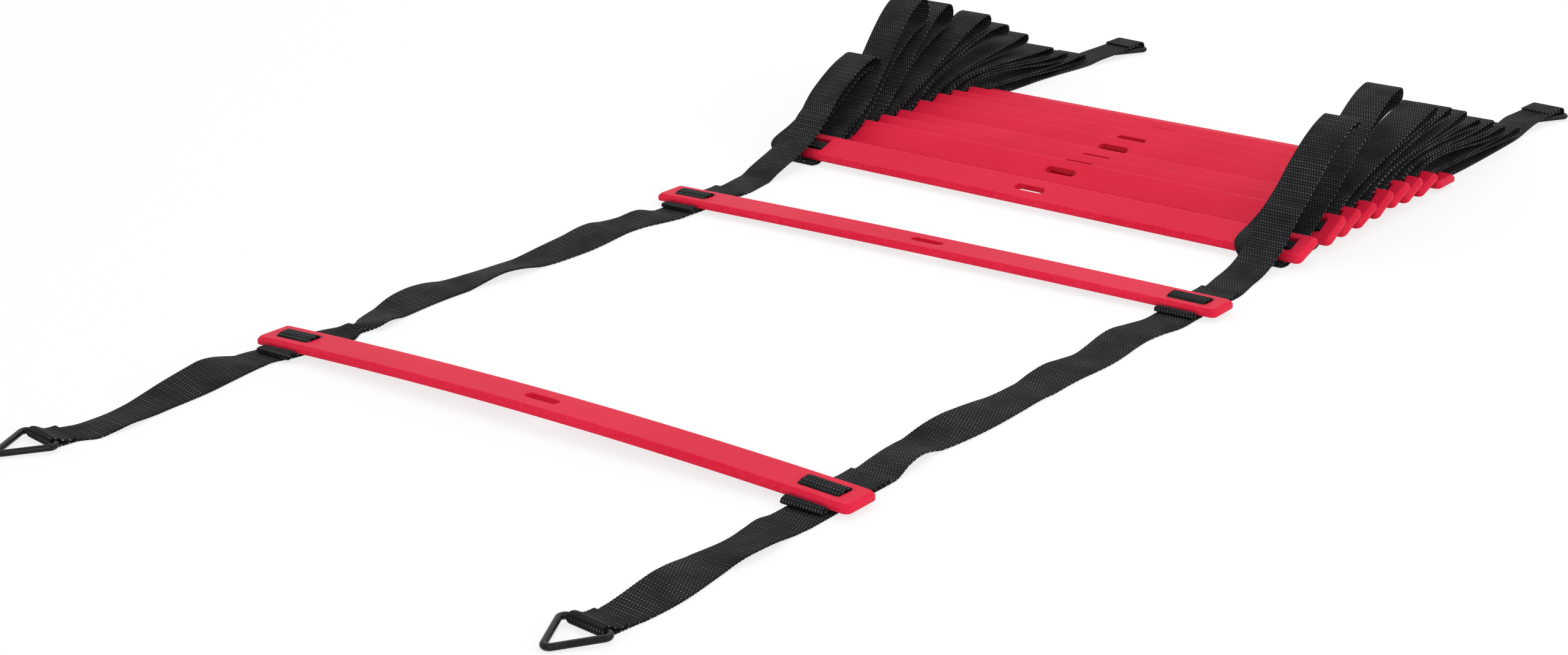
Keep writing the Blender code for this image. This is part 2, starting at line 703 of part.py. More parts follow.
def rear_lift(back):
    """How high the lower layer of a rear end lies above the bar's height."""
    return EYE_RADIUS * (1.33 - 0.82 * ease((back - 2 * EYE_RADIUS) / TAIL_REACH))


for side, sign in SIDES:
    line = slot_line(sign)
    crease_x = second_place(line, 0)[0]
    start = np.array([CREASE + GAP / 2 + crease_x * math.tan(stack_turn), HALF_WEB])
    flat_end = start + np.array([FLOOR_RUN, 0])
    rows = []
    for share in (0.0, 0.5):
        y, z = start + (flat_end - start) * share
        x = crease_x + (line - crease_x) * share
        rows.append((Vector((x, y - crease_x * math.tan(stack_turn), z)),
                     Vector((1, 0, 0)), WEB_WIDTH))
    here = flat_end
    spent = FLOOR_RUN + HALF_WIDTH + REAR_FLAP + FOLD_SPACE
    flaps = []
    for index, seat in enumerate(seats):
        if index == 0:
            webbing = STACK_BAY - spent
            path, up_path = fitted_loop(here, seat, side, index, webbing, FIRST_RISE)
        else:
            here = seats[index - 1].at(HALF_WIDTH, STRAP_LEVEL)
            webbing = STACK_BAY - HALF_WIDTH
            path, up_path = fitted_loop(here, seat, side, index, webbing, 0.0)
            flaps.append(up_path)
        edge = seat.at(HALF_WIDTH, 0)
        for y, z in path:
            away = max(0.0, y - edge[0])
            rows.append(stack_row(line + LOOP_DRIFT_SHARES[side][index] * away, y, z))

    # From the last rung the strap drops to the floor and runs back to its end
    last = seats[-1]
    leave = last.at(HALF_WIDTH, STRAP_LEVEL)
    turn = REAR_BAR_TURNS[side]
    target = rear_point(side, sign, TAIL_REACH + GAP / 2, rear_lift(TAIL_REACH))
    drop = bow(leave, leave + RUNG_WIDTH * 0.5 * last.back,
               np.array([leave[0] + RUNG_WIDTH * 1.3, HALF_WEB]),
               np.array([leave[0] + RUNG_WIDTH * 2.2, HALF_WEB]), 7)
    flaps.append(drop)
    heading_across = Vector((math.cos(math.radians(turn)), math.sin(math.radians(turn)), 0))
    tail = []
    for y, z in drop:
        tail.append(stack_row(line, y, z))
    from_y = tail[-1][0].y
    for share in (0.25, 0.5, 0.7, 0.85, 1.0):
        y = from_y + (target.y - from_y) * share
        x = line + (target.x - line) * share**1.5
        z = HALF_WEB + (target.z - HALF_WEB) * ease((share - 0.6) / 0.4)
        across = (rung_across * (1 - share) + heading_across * share).normalized()
        tail.append((Vector((x, y, z)), across, WEB_WIDTH))
    tail[-1] = (target, heading_across, WEB_WIDTH)
    rows += tail
    strap("stack_strap_" + side, rows, Vector((line, CREASE, WEB_THICKNESS)), root)

    # Keepers in the stack: from inside the belly, through the slot, to a flap on the strap
    for index, seat in enumerate(seats):
        inner = BELLY_RADIUS - WEB_THICKNESS - GAP
        curl = arc(np.array([-HALF_WIDTH - BELLY_REACH, BELLY_MIDDLE]), inner, 90, 270, 6)
        place = rung_matrix(seat)
        rows = []
        for u, v in list(curl) + list(keeper_core()):
            rows.append((place @ Vector((line, u, v)), rung_across, WEB_WIDTH))
        flap = flaps[index] + (WEB_THICKNESS + GAP) * normals_of(flaps[index])
        flap[0] = seat.at(HALF_WIDTH, KEEPER_LEVEL)
        for y, z in first_stretch(flap, REAR_FLAP):
            rows.append(stack_row(line, y, z))
        strap("keeper_%02d_%s" % (index + 3, side), rows,
              place @ Vector((line, 0, 0)), root)

    # Rear end: over the folded ring, round its bar and back on top to a sewn end
    fold = rear_point(side, sign, TAIL_REACH, rear_lift(TAIL_REACH)) + UP * HALF_WEB
    joint = empty("hinge_rear_end_" + side, Matrix.Translation(fold)
                  @ Matrix.Rotation(math.radians(turn), 4, "Z"), root)
    lower = [(back, rear_lift(back)) for back in
             (TAIL_REACH - GAP / 2, TAIL_REACH * 0.85, TAIL_REACH * 0.65, TAIL_REACH * 0.45,
              TAIL_REACH * 0.28)]
    radius = EYE_RADIUS
    turn_down = arc(np.array([2 * radius, radius / 3]), radius, 90, 180, 5)
    eye = arc(np.zeros(2), radius, 0, -180, 9)
    climb = bow(np.array([-radius, 0]), np.array([-radius, radius * 1.3]),
                np.array([-radius * 0.6, radius * 2.0]), np.array([radius, radius * 2.0]), 6)
    over = [(back, rear_lift(back) + WEB_THICKNESS + GAP) for back in
            (REAR_HEM * 0.5, REAR_HEM * 0.75, REAR_HEM)]
    path = lower + list(turn_down) + list(eye) + list(climb[1:]) + over
    rows = []
    for back, height in path:
        width = END_WIDTH + (WEB_WIDTH - END_WIDTH) * ease((back - REAR_HEM) / REAR_HEM)
        rows.append((rear_point(side, sign, back, height), heading_across, width))
    strap("rear_end_strap_" + side, rows, fold, joint)
    ring_at("ring_rear_" + side, rear_point(side, sign, 0, 0), turn, joint)

# The ladder's footprint is centred on the origin
bpy.context.view_layer.update()
corners = []
for obj in PARTS.objects:
    if obj.type == "MESH":
        ready = obj.evaluated_get(bpy.context.evaluated_depsgraph_get())
        corners += [ready.matrix_world @ vert.co for vert in ready.data.vertices]
corners = np.array(corners)
centre = (corners.min(axis=0) + corners.max(axis=0)) / 2
root.location = (-centre[0], -centre[1], 0)
bpy.context.view_layer.update()
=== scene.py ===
import math

import bpy
import numpy as np
from mathutils import Matrix, Vector
from mathutils.geometry import delaunay_2d_cdt


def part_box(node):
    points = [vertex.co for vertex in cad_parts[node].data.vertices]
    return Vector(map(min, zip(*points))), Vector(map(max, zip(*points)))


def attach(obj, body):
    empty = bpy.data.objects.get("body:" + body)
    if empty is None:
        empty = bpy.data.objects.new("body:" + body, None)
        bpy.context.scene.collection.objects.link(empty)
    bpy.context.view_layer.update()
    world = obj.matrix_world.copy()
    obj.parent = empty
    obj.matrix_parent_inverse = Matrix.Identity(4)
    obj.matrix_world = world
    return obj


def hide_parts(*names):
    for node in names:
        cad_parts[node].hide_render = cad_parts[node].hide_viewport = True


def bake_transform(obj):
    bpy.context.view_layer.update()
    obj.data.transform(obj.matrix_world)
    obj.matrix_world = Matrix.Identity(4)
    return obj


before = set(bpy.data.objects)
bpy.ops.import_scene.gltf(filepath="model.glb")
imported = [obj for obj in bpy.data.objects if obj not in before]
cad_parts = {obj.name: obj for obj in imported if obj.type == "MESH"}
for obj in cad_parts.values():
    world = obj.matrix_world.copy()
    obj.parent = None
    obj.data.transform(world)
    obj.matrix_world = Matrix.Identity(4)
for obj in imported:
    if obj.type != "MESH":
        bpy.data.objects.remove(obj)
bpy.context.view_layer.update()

# The view: a long lens held low beside the ladder's loose end, looking across both loose rungs
# to the stack. The frame is 2560 by 1069 pixels. Places in this file are measured from the first
# rung's middle, and SHIFT takes them to where that rung lies.
low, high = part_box("rung_01")
SHIFT = np.array([(low[0] + high[0]) / 2, (low[1] + high[1]) / 2, 0.0])
FRAME_WIDTH = 2560
FOCAL_PIXELS = 4383.9
SENSOR = 36.0
CAMERA_PLACE = SHIFT + (1.0856, -1.1714, 0.6233)
CAMERA_YAW, CAMERA_PITCH, CAMERA_ROLL = np.radians([-37.30, 19.47, -0.46])

ahead = np.array([math.sin(CAMERA_YAW) * math.cos(CAMERA_PITCH),
                  math.cos(CAMERA_YAW) * math.cos(CAMERA_PITCH), -math.sin(CAMERA_PITCH)])
level = np.array([math.cos(CAMERA_YAW), -math.sin(CAMERA_YAW), 0.0])
over = np.cross(level, ahead)
right = math.cos(CAMERA_ROLL) * level + math.sin(CAMERA_ROLL) * over
above = -math.sin(CAMERA_ROLL) * level + math.cos(CAMERA_ROLL) * over
camera = bpy.data.objects.new("camera", bpy.data.cameras.new("camera"))
camera.data.sensor_fit = "HORIZONTAL"
camera.data.sensor_width = SENSOR
camera.data.lens = FOCAL_PIXELS / FRAME_WIDTH * SENSOR
camera.data.clip_end = 50.0
bpy.context.scene.collection.objects.link(camera)
turned = np.eye(4)
turned[:3, 0], turned[:3, 1], turned[:3, 2], turned[:3, 3] = right, above, -ahead, CAMERA_PLACE
camera.matrix_world = Matrix(turned.tolist())
bpy.context.scene.camera = camera
bpy.context.scene.view_settings.view_transform = "Standard"

# The studio: a white floor and a white room round it, lit by one large soft lamp overhead and
# behind, and two weaker ones from the right and the front. The floor keeps a soft shadow.
FLOOR_SIZE = 14.0
FLOOR_DROP = 0.0003
FLOOR_GLOW = 0.77
ROOM_LIGHT = 0.78


class Value:
    """A socket of a shader node with arithmetic: each operator adds one Math node."""

    def __init__(self, nodes, socket):
        self.nodes = nodes
        self.socket = socket

    def math(self, operation, *others):
        return self.nodes.node("ShaderNodeMath", {"operation": operation}, (self, *others))

    def __add__(self, other):
        return self.math("ADD", other)

    def __mul__(self, other):
        return self.math("MULTIPLY", other)

    def __rsub__(self, other):
        return self.nodes.node("ShaderNodeMath", {"operation": "SUBTRACT"}, (other, self))

    __radd__ = __add__
    __rmul__ = __mul__

    def step(self, low, high):
        """A smooth rise from 0 at low to 1 at high."""
        return self.nodes.node("ShaderNodeMapRange", {"interpolation_type": "SMOOTHSTEP"},
                               (self, low, high, 0.0, 1.0))


class Nodes:
    """A tree of shader nodes."""

    def __init__(self, tree):
        self.tree = tree

    def node(self, kind, settings, inputs, output=0):
        """Adds any node from its type, settings and inputs, and returns one of its outputs."""
        made = self.tree.nodes.new(kind)
        for name, value in settings.items():
            setattr(made, name, value)
        pairs = inputs.items() if isinstance(inputs, dict) else enumerate(inputs)
        for socket, value in pairs:
            if isinstance(value, Value):
                self.tree.links.new(value.socket, made.inputs[socket])
            elif value is not None:
                made.inputs[socket].default_value = value
        return Value(self, made.outputs[output])

    def seen(self):
        """1 for the rays of the camera, of mirrors and of glass, and 0 for all others."""
        kinds = ("Is Camera Ray", "Is Glossy Ray", "Is Transmission Ray")
        rays = [self.node("ShaderNodeLightPath", {}, (), kind) for kind in kinds]
        return (rays[0] + rays[1] + rays[2]).math("MINIMUM", 1.0)


class Finish(Nodes):
    """A material and its nodes, with constants on its shader's own sockets."""

    def __init__(self, name, constants):
        self.material = bpy.data.materials.new(name)
        self.material.use_nodes = True
        super().__init__(self.material.node_tree)
        self.shader = self.tree.nodes["Principled BSDF"]
        for socket, value in constants.items():
            self.shader.inputs[socket].default_value = value

    def mix(self, factor, first, second):
        """A colour between two colours."""
        return self.node("ShaderNodeMix", {"data_type": "RGBA"},
                         {0: factor, 6: first, 7: second}, 2)

    def feed(self, socket, value):
        """Links a value to one of the shader's sockets."""
        self.tree.links.new(value.socket, self.shader.inputs[socket])

    def bump(self, height, strength, distance):
        """Relief on the shader's normal from a height."""
        relief = self.node("ShaderNodeBump", {}, {"Strength": strength, "Distance": distance,
                                                  "Height": height})
        self.feed("Normal", relief)


floor_finish = Finish("studio_floor", {"Base Color": (0.96, 0.96, 0.96, 1), "Roughness": 0.9,
                                       "Specular IOR Level": 0.1})
glow = floor_finish.node("ShaderNodeEmission", {}, {"Color": (1, 1, 1, 1), "Strength": 1.0})
lit = floor_finish.node("ShaderNodeMixShader", {},
                        (floor_finish.seen() * FLOOR_GLOW,
                         Value(floor_finish, floor_finish.shader.outputs[0]), glow))
floor_finish.tree.links.new(lit.socket,
                            floor_finish.tree.nodes["Material Output"].inputs["Surface"])

floor_mesh = bpy.data.meshes.new("floor")
floor_mesh.from_pydata([(x * FLOOR_SIZE / 2, y * FLOOR_SIZE / 2, -FLOOR_DROP)
                        for x, y in ((-1, -1), (1, -1), (1, 1), (-1, 1))], [], [(0, 1, 2, 3)])
floor = bpy.data.objects.new("floor", floor_mesh)
floor.data.materials.append(floor_finish.material)
bpy.context.scene.collection.objects.link(floor)

world = bpy.data.worlds.new("studio")
bpy.context.scene.world = world
world.use_nodes = True
room = Nodes(world.node_tree)
backdrop = room.tree.nodes["Background"]
backdrop.inputs["Color"].default_value = (1, 1, 1, 1)
room.tree.links.new((room.seen() * (1 - ROOM_LIGHT) + ROOM_LIGHT).socket,
                    backdrop.inputs["Strength"])


def lamp(name, place, target, size, power):
    """A square soft lamp that faces a point."""
    light = bpy.data.lights.new(name, "AREA")
    light.size = size
    light.energy = power
    obj = bpy.data.objects.new(name, light)
    aim = Vector(target) - Vector(place)
    obj.matrix_world = (Matrix.Translation(place)
                        @ aim.to_track_quat("-Z", "Y").to_matrix().to_4x4())
    bpy.context.scene.collection.objects.link(obj)


lamp("overhead_lamp", (-0.5, 1.2, 2.6), (0.0, 0.0, 0.0), 2.2, 18.0)
lamp("side_lamp", (2.4, 0.2, 1.5), (0.2, 0.2, 0.0), 1.6, 13.0)
lamp("front_lamp", (1.6, -2.4, 1.5), (0.0, 0.0, 0.0), 0.6, 11.0)

# The rungs: eleven flat bars of red plastic, moulded in one piece with a bevelled top edge, a
# hole in the middle, and near each end a slot that has a low bar across it for the webbing.
RUNG_LENGTH = 0.500
RUNG_WIDTH = 0.031
RUNG_THICKNESS = 0.0056
RUNG_BEVEL = 0.0024
RUNG_CORNER = 0.0045
SLOT_INSET = 0.02765
SLOT_LENGTH = 0.0309
SLOT_WIDTH = 0.0155
SLOT_CORNER = 0.0012
BAR_WIDTH = 0.0052
BAR_DROP = 0.0018
HOLE_LENGTH = 0.028
HOLE_WIDTH = 0.0074
SOFT_EDGE = 0.00075
FOOT_EDGE = 0.0004
HOLE_EDGE = 0.0004
TOP_RIM = 0.0048
FOOT_RIM = 0.0042
HOLE_RIM = 0.0010
BAR_EDGE = 0.0012
BAR_FOOT_EDGE = 0.0005
BAR_LIFT = 0.0003
BAR_ROOT = 0.0009
HOLE_MARGIN = 0.0004
NET_END = 0.008
NET_SIDE = 0.0095
NET_GAP = (0.0020, 0.0018)
SHARP_ANGLE = 48.0
OUTLINE_WEAR = (0, 0.4, 0.9, 0.9, 0.4, 0.3, 0.8, 0.8, 0.3, 0.3, 0.8, 0.8, 0.3, 0)
HOLE_WEAR = (0, 0.3, 0.7, 0.7, 0.3, 0.2, 0.4, 0.4, 0.2, 0)
FIRST_ARCH = 0.0061
SECOND_ARCH = 0.0017

HALF_WIDTH = RUNG_WIDTH / 2
HALF_SLOTS = RUNG_LENGTH / 2 - SLOT_INSET


def along(angle):
    """The unit vector at an angle in degrees."""
    turn = math.radians(angle)
    return np.array([math.cos(turn), math.sin(turn)])


def unit(vectors):
    """Each vector divided by its own length."""
    return vectors / np.linalg.norm(vectors, axis=-1, keepdims=True)


def arc(centre, radius, first, last, count):
    """Points on a circle: the centre plus the radius times the cosine and sine of the angle."""
    turn = np.radians(np.linspace(first, last, count))
    return np.asarray(centre) + radius * np.stack([np.cos(turn), np.sin(turn)], axis=-1)


def bow(start, first, second, end, count):
    """A cubic curve: each end and control point weighted by its Bernstein polynomial."""
    t = np.linspace(0, 1, count)[:, None]
    s = 1 - t
    return s**3 * start + 3 * s**2 * t * first + 3 * s * t**2 * second + t**3 * end


def rounded(points, radii, count):
    """A path with each inner corner replaced by an arc that touches both of its sides."""
    points = [np.array(point, dtype=float) for point in points]
    path = [points[0]]
    for before, corner, after, radius in zip(points[:-2], points[1:-1], points[2:], radii):
        back, onward = unit(before - corner), unit(after - corner)
        half = math.acos(float(np.clip(back @ onward, -1, 1))) / 2
        middle = corner + unit(back + onward) * radius / math.sin(half)
        start = corner + back * radius / math.tan(half) - middle
        end = corner + onward * radius / math.tan(half) - middle
        t = np.linspace(0, 1, count)[:, None]
        path.extend(middle + unit(start * (1 - t) + end * t) * radius)
    path.append(points[-1])
    return np.array(path)


def ease(value):
    """A smooth rise from 0 to 1: three times the square less twice the cube."""
    value = np.clip(value, 0, 1)
    return value * value * (3 - 2 * value)


def oblong(length, width, corner, inset, straight, bend):
    """A rounded rectangle: four quarter circles joined by straight runs, drawn in by inset."""
    radius = max(corner - inset, 1e-5)
    x, y = length / 2 - inset - radius, width / 2 - inset - radius
    parts = []
    ends = ((x, y, 0), (-x, y, 90), (-x, -y, 180), (x, -y, 270))
    for (cx, cy, turn), (nx, ny, _) in zip(ends, ends[1:] + ends[:1]):
        corner_arc = arc((cx, cy), radius, turn, turn + 90, bend)
        count = straight if turn in (0, 180) else 3
        goal = np.array([nx, ny]) + radius * along(turn + 90)
        t = np.linspace(0, 1, count + 2)[1:-1, None]
        parts += [corner_arc, corner_arc[-1] * (1 - t) + goal * t]
    return np.vstack(parts)


def ring_faces(first, count, rings, closed=False):
    """Quads between rings of the same count of points, laid one after another from first. If
    closed, the last ring joins the first."""
    i, j = np.meshgrid(np.arange(rings if closed else rings - 1), np.arange(count), indexing="ij")
    onward, beside = (i + 1) % rings, (j + 1) % count
    corners = [i * count + j, i * count + beside, onward * count + beside, onward * count + j]
    return first + np.stack(corners, axis=-1).reshape(-1, 4)


def at_level(loop, z):
    """A flat loop of points at one height."""
    return np.column_stack([loop, np.full(len(loop), z)])


def flat_fill(edge_loops, holes, inner):
    """Triangles over a flat region between loops, from a constrained Delaunay net."""
    points = np.vstack(edge_loops + [inner])
    edges, start = [], 0
    for loop in edge_loops:
        n = len(loop)
        edges += [(start + k, start + (k + 1) % n) for k in range(n)]
        start += n
    net = delaunay_2d_cdt([Vector(p) for p in points], edges, [], 1, 1e-7)
    spots = np.array([tuple(v) for v in net[0]])
    faces = np.array([tuple(f) for f in net[2]])
    middle = spots[faces].mean(axis=1)
    keep = np.ones(len(faces), bool)
    for cx, length, width in holes:
        inside = (np.abs(middle[:, 0] - cx) < length / 2) & (np.abs(middle[:, 1]) < width / 2)
        keep &= ~inside
    order = np.array([ids[0] for ids in net[3]])
    return order[faces[keep]]


def rung_shell():
    """A rung as rings of points: its edge profile carried round the outline, each hole's wall
    carried round the hole, and flat nets above and below between the innermost rings."""
    top = RUNG_THICKNESS
    profile = rounded([(FOOT_RIM, 0), (0, 0), (0, top - RUNG_BEVEL), (RUNG_BEVEL, top),
                       (TOP_RIM, top)], (FOOT_EDGE, SOFT_EDGE, SOFT_EDGE), 4)
    outer = [at_level(oblong(RUNG_LENGTH, RUNG_WIDTH, RUNG_CORNER, inset, 40, 7), z)
             for inset, z in profile]
    n_outer = len(outer[0])
    points = [np.vstack(outer)]
    faces = [ring_faces(0, n_outer, len(outer))]
    worn = [np.repeat(OUTLINE_WEAR, n_outer)]
    used = n_outer * len(outer)
    top_loops = [(outer[-1][:, :2], used - n_outer)]
    low_loops = [(outer[0][:, :2], 0)]
    wall = rounded([(-HOLE_RIM, top), (0, top), (0, 0), (-HOLE_RIM, 0)],
                   (HOLE_EDGE, HOLE_EDGE), 4)
    holes = [(-HALF_SLOTS, SLOT_LENGTH, SLOT_WIDTH, SLOT_CORNER),
             (0.0, HOLE_LENGTH, HOLE_WIDTH, HOLE_WIDTH * 0.499),
             (HALF_SLOTS, SLOT_LENGTH, SLOT_WIDTH, SLOT_CORNER)]
    for cx, length, width, corner in holes:
        rings = [at_level(oblong(length, width, corner, inset, 8, 6) + (cx, 0), z)
                 for inset, z in wall]
        count = len(rings[0])
        points.append(np.vstack(rings))
        faces.append(ring_faces(used, count, len(rings)))
        worn.append(np.repeat(HOLE_WEAR, count))
        top_loops.append((rings[0][:, :2], used))
        low_loops.append((rings[-1][:, :2], used + count * (len(rings) - 1)))
        used += count * len(rings)
    gaps = [(cx, length + HOLE_MARGIN, width + HOLE_MARGIN) for cx, length, width, _ in holes]
    rows = np.linspace(-RUNG_LENGTH / 2 + NET_END, RUNG_LENGTH / 2 - NET_END, 41)
    spots = np.stack(np.meshgrid(rows, np.linspace(-NET_SIDE, NET_SIDE, 3)),
                     axis=-1).reshape(-1, 2)
    clear = np.ones(len(spots), bool)
    for cx, length, width in gaps:
        clear &= ~((np.abs(spots[:, 0] - cx) < length / 2 + NET_GAP[0])
                   & (np.abs(spots[:, 1]) < width / 2 + NET_GAP[1]))
    spots = spots[clear]
    for loops, z, flip in ((top_loops, top, False), (low_loops, 0.0, True)):
        net = flat_fill([loop for loop, _ in loops], gaps, spots)
        index = np.concatenate([start + np.arange(len(loop)) for loop, start in loops]
                               + [used + np.arange(len(spots))])
        net = index[net]
        corner = np.vstack(points + [at_level(spots, z)])[net]
        side = np.cross(corner[:, 1] - corner[:, 0], corner[:, 2] - corner[:, 0])[:, 2]
        wrong = (side < 0) != flip
        net[wrong] = net[wrong][:, ::-1]
        points.append(at_level(spots, z))
        worn.append(np.zeros(len(spots)))
        used += len(spots)
        faces.append(net)
    bar_top = top - BAR_DROP
    half_bar = BAR_WIDTH / 2
    bar = rounded([(0, BAR_LIFT), (half_bar, BAR_LIFT), (half_bar, bar_top), (-half_bar, bar_top),
                   (-half_bar, BAR_LIFT), (0, BAR_LIFT)],
                  (BAR_FOOT_EDGE, BAR_EDGE, BAR_EDGE, BAR_FOOT_EDGE), 4)[:-1]
    for cx, *_ in (holes[0], holes[2]):
        xs = cx + np.array([-1, 1]) * (SLOT_LENGTH / 2 + BAR_ROOT)
        rings = [np.column_stack([np.full(len(bar), x), bar]) for x in xs]
        points.append(np.vstack(rings))
        faces.append(ring_faces(used, len(bar), 2))
        faces.append((used + np.arange(len(bar)))[None, ::-1])
        faces.append((used + len(bar) + np.arange(len(bar)))[None, :])
        worn.append(np.zeros(2 * len(bar)))
        used += 2 * len(bar)
    return np.vstack(points), faces, np.concatenate(worn)


def arch_at(x, arch):
    """How high an arched rung lies above its ends: a parabola along its length."""
    share = 2 * x / RUNG_LENGTH
    return arch * (1 - share * share)


def new_piece(name, points, faces, finish, floats=(), uv=None):
    """Puts points and faces into a mesh, with any point attributes and a UV place per point."""
    mesh = bpy.data.meshes.new(name)
    mesh.from_pydata(points.tolist(), [], [face for group in faces for face in group.tolist()])
    for label, values in floats:
        mesh.attributes.new(label, "FLOAT", "POINT").data.foreach_set("value", values)
    if uv is not None:
        layer = mesh.uv_layers.new(name="weave")
        corner = np.empty(len(mesh.loops), dtype=np.int32)
        mesh.loops.foreach_get("vertex_index", corner)
        layer.data.foreach_set("uv", uv[corner].astype(np.float32).ravel())
    mesh.shade_smooth()
    mesh.set_sharp_from_angle(angle=math.radians(SHARP_ANGLE))
    obj = bpy.data.objects.new(name, mesh)
    mesh.materials.append(finish.material)
    bpy.context.scene.collection.objects.link(obj)
    return obj


DEEP_RED = (0.665, 0.010, 0.042, 1)
CLEAR_RED = (0.71, 0.015, 0.051, 1)
STREAK_RED = (0.75, 0.022, 0.066, 1)
WORN_RED = (0.84, 0.07, 0.12, 1)

red_plastic = Finish("red_plastic_moulded", {"Specular IOR Level": 0.07,
                                             "Subsurface Weight": 0.3,
                                             "Subsurface Scale": 0.004,
                                             "Subsurface Radius": (1.0, 0.10, 0.12)})
place = red_plastic.node("ShaderNodeTexCoord", {}, (), "Object")
cloud = red_plastic.node("ShaderNodeTexNoise", {}, {"Vector": place, "Scale": 9.0, "Detail": 3.0})
flow = red_plastic.node("ShaderNodeMapping", {}, {"Vector": place, "Scale": (5.0, 90.0, 90.0)})
streak = red_plastic.node("ShaderNodeTexNoise", {}, {"Vector": flow, "Scale": 1.0, "Detail": 4.0,
                                                     "Roughness": 0.6})
peel = red_plastic.node("ShaderNodeTexNoise", {}, {"Vector": place, "Scale": 1600.0,
                                                   "Detail": 2.0})
edge = red_plastic.node("ShaderNodeAttribute", {"attribute_name": "edge_wear"}, (), "Fac")
scuff = red_plastic.node("ShaderNodeTexNoise", {}, {"Vector": place, "Scale": 260.0,
                                                    "Detail": 5.0, "Roughness": 0.7})
tone = red_plastic.mix(cloud.step(0.35, 0.65), DEEP_RED, CLEAR_RED)
tone = red_plastic.mix(streak.step(0.45, 0.75) * 0.25, tone, STREAK_RED)
tone = red_plastic.mix(edge * scuff.step(0.42, 0.7) * 0.55, tone, WORN_RED)
red_plastic.feed("Base Color", tone)
red_plastic.feed("Roughness", 0.34 + 0.10 * cloud + 0.08 * streak)
red_plastic.bump(peel * 0.5 + streak * 1.5 + scuff * 0.3, 0.12, 0.0004)

WEB_WIDTH = 0.030
WEB_THICKNESS = 0.0014
GAP = 0.0003
BAY = 0.4259
SECOND_SHIFT = 0.0048
SECOND_TURN = 0.67
FRONT_FLAP = 0.0145
REAR_FLAP = 0.030
FOLD_SPACE = 0.006
STACK_GAP = 0.0870
STACK_STEP = 0.0307
STACK_TURN = 2.3
STACK_TILTS = (19.5, 28.0, 25.0, 21.0, 26.5, 22.0, 22.0, 18.5, 1.0)
STEP_SHARES = (0.0, 1.58, 0.80, 0.86, 1.02, 0.92, 0.80, 0.88, 1.07)
LIFT_SHARES = (0.0, 0.16, 0.30, 0.34, 0.27, 0.62, 0.25, 0.07, 0.0)
BELLY_REACH = 0.0022

HALF_WEB = WEB_THICKNESS / 2
KEEPER_LEVEL = -(GAP + HALF_WEB)
STRAP_LEVEL = KEEPER_LEVEL - WEB_THICKNESS - GAP
OVER_LEVEL = RUNG_THICKNESS + GAP + HALF_WEB
BAR_LEVEL = RUNG_THICKNESS - BAR_DROP + GAP + HALF_WEB
SEAT_HEIGHT = 2 * (WEB_THICKNESS + GAP)
BELLY_RADIUS = (OVER_LEVEL - STRAP_LEVEL) / 2
BELLY_MIDDLE = (OVER_LEVEL + STRAP_LEVEL) / 2
FRONT_FOLD = -(HALF_WIDTH + FRONT_FLAP + FOLD_SPACE)
FIRST_REAR_FOLD = HALF_WIDTH + REAR_FLAP + FOLD_SPACE
SECOND_FRONT_FOLD = BAY + FRONT_FOLD
CREASE = BAY + FIRST_REAR_FOLD
SIDES = (("left", -1), ("right", 1))


class Seat:
    """The place of a stacked rung, seen from its end: its y and z, and its tilt."""

    def __init__(self, front, lift, tilt):
        self.tilt = tilt
        self.back = along(tilt)
        self.up = np.array([-self.back[1], self.back[0]])
        height = (BELLY_RADIUS + HALF_WEB + BELLY_REACH * self.back[1]
                  - BELLY_MIDDLE * self.back[0] + lift)
        self.origin = np.array([front, height]) + HALF_WIDTH * self.back

    def at(self, u, v):
        """A point u behind the rung's middle line and v above its underside."""
        return self.origin + u * self.back + v * self.up


seats = [Seat(CREASE + STACK_GAP + STACK_STEP * sum(STEP_SHARES[:k + 1]),
              LIFT_SHARES[k] * RUNG_THICKNESS, tilt) for k, tilt in enumerate(STACK_TILTS)]
stack_turn = math.radians(STACK_TURN)


def turn_about(axis, degrees):
    """A 3 by 3 rotation about X or Z."""
    c, s = math.cos(math.radians(degrees)), math.sin(math.radians(degrees))
    if axis == "X":
        return np.array([[1, 0, 0], [0, c, -s], [0, s, c]])
    return np.array([[c, -s, 0], [s, c, 0], [0, 0, 1]])


class Place:
    """A rung's placement: a rotation and an offset, with the arch of the rung."""

    def __init__(self, offset, rotation, arch=0.0):
        self.offset = np.asarray(offset, dtype=float)
        self.rotation = rotation
        self.arch = arch

    def put(self, points):
        return np.asarray(points) @ self.rotation.T + self.offset


places = [Place((0, 0, SEAT_HEIGHT), np.eye(3), FIRST_ARCH),
          Place((SECOND_SHIFT, BAY, SEAT_HEIGHT), turn_about("Z", SECOND_TURN), SECOND_ARCH)]
for seat in seats:
    places.append(Place((0, seat.origin[0], seat.origin[1]),
                        turn_about("Z", -STACK_TURN) @ turn_about("X", seat.tilt)))

shell_points, shell_faces, shell_wear = rung_shell()
RUNG_BODIES = ["rung_1_section", "rung_2_section"] + ["stack"] * 9
for number, (spot, body) in enumerate(zip(places, RUNG_BODIES), start=1):
    bent = shell_points.copy()
    bent[:, 2] += arch_at(bent[:, 0], spot.arch)
    rung = new_piece("moulded_rung_%02d" % number, spot.put(bent) + SHIFT, shell_faces,
                     red_plastic, [("edge_wear", shell_wear)])
    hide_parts("rung_%02d" % number)
    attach(rung, body)

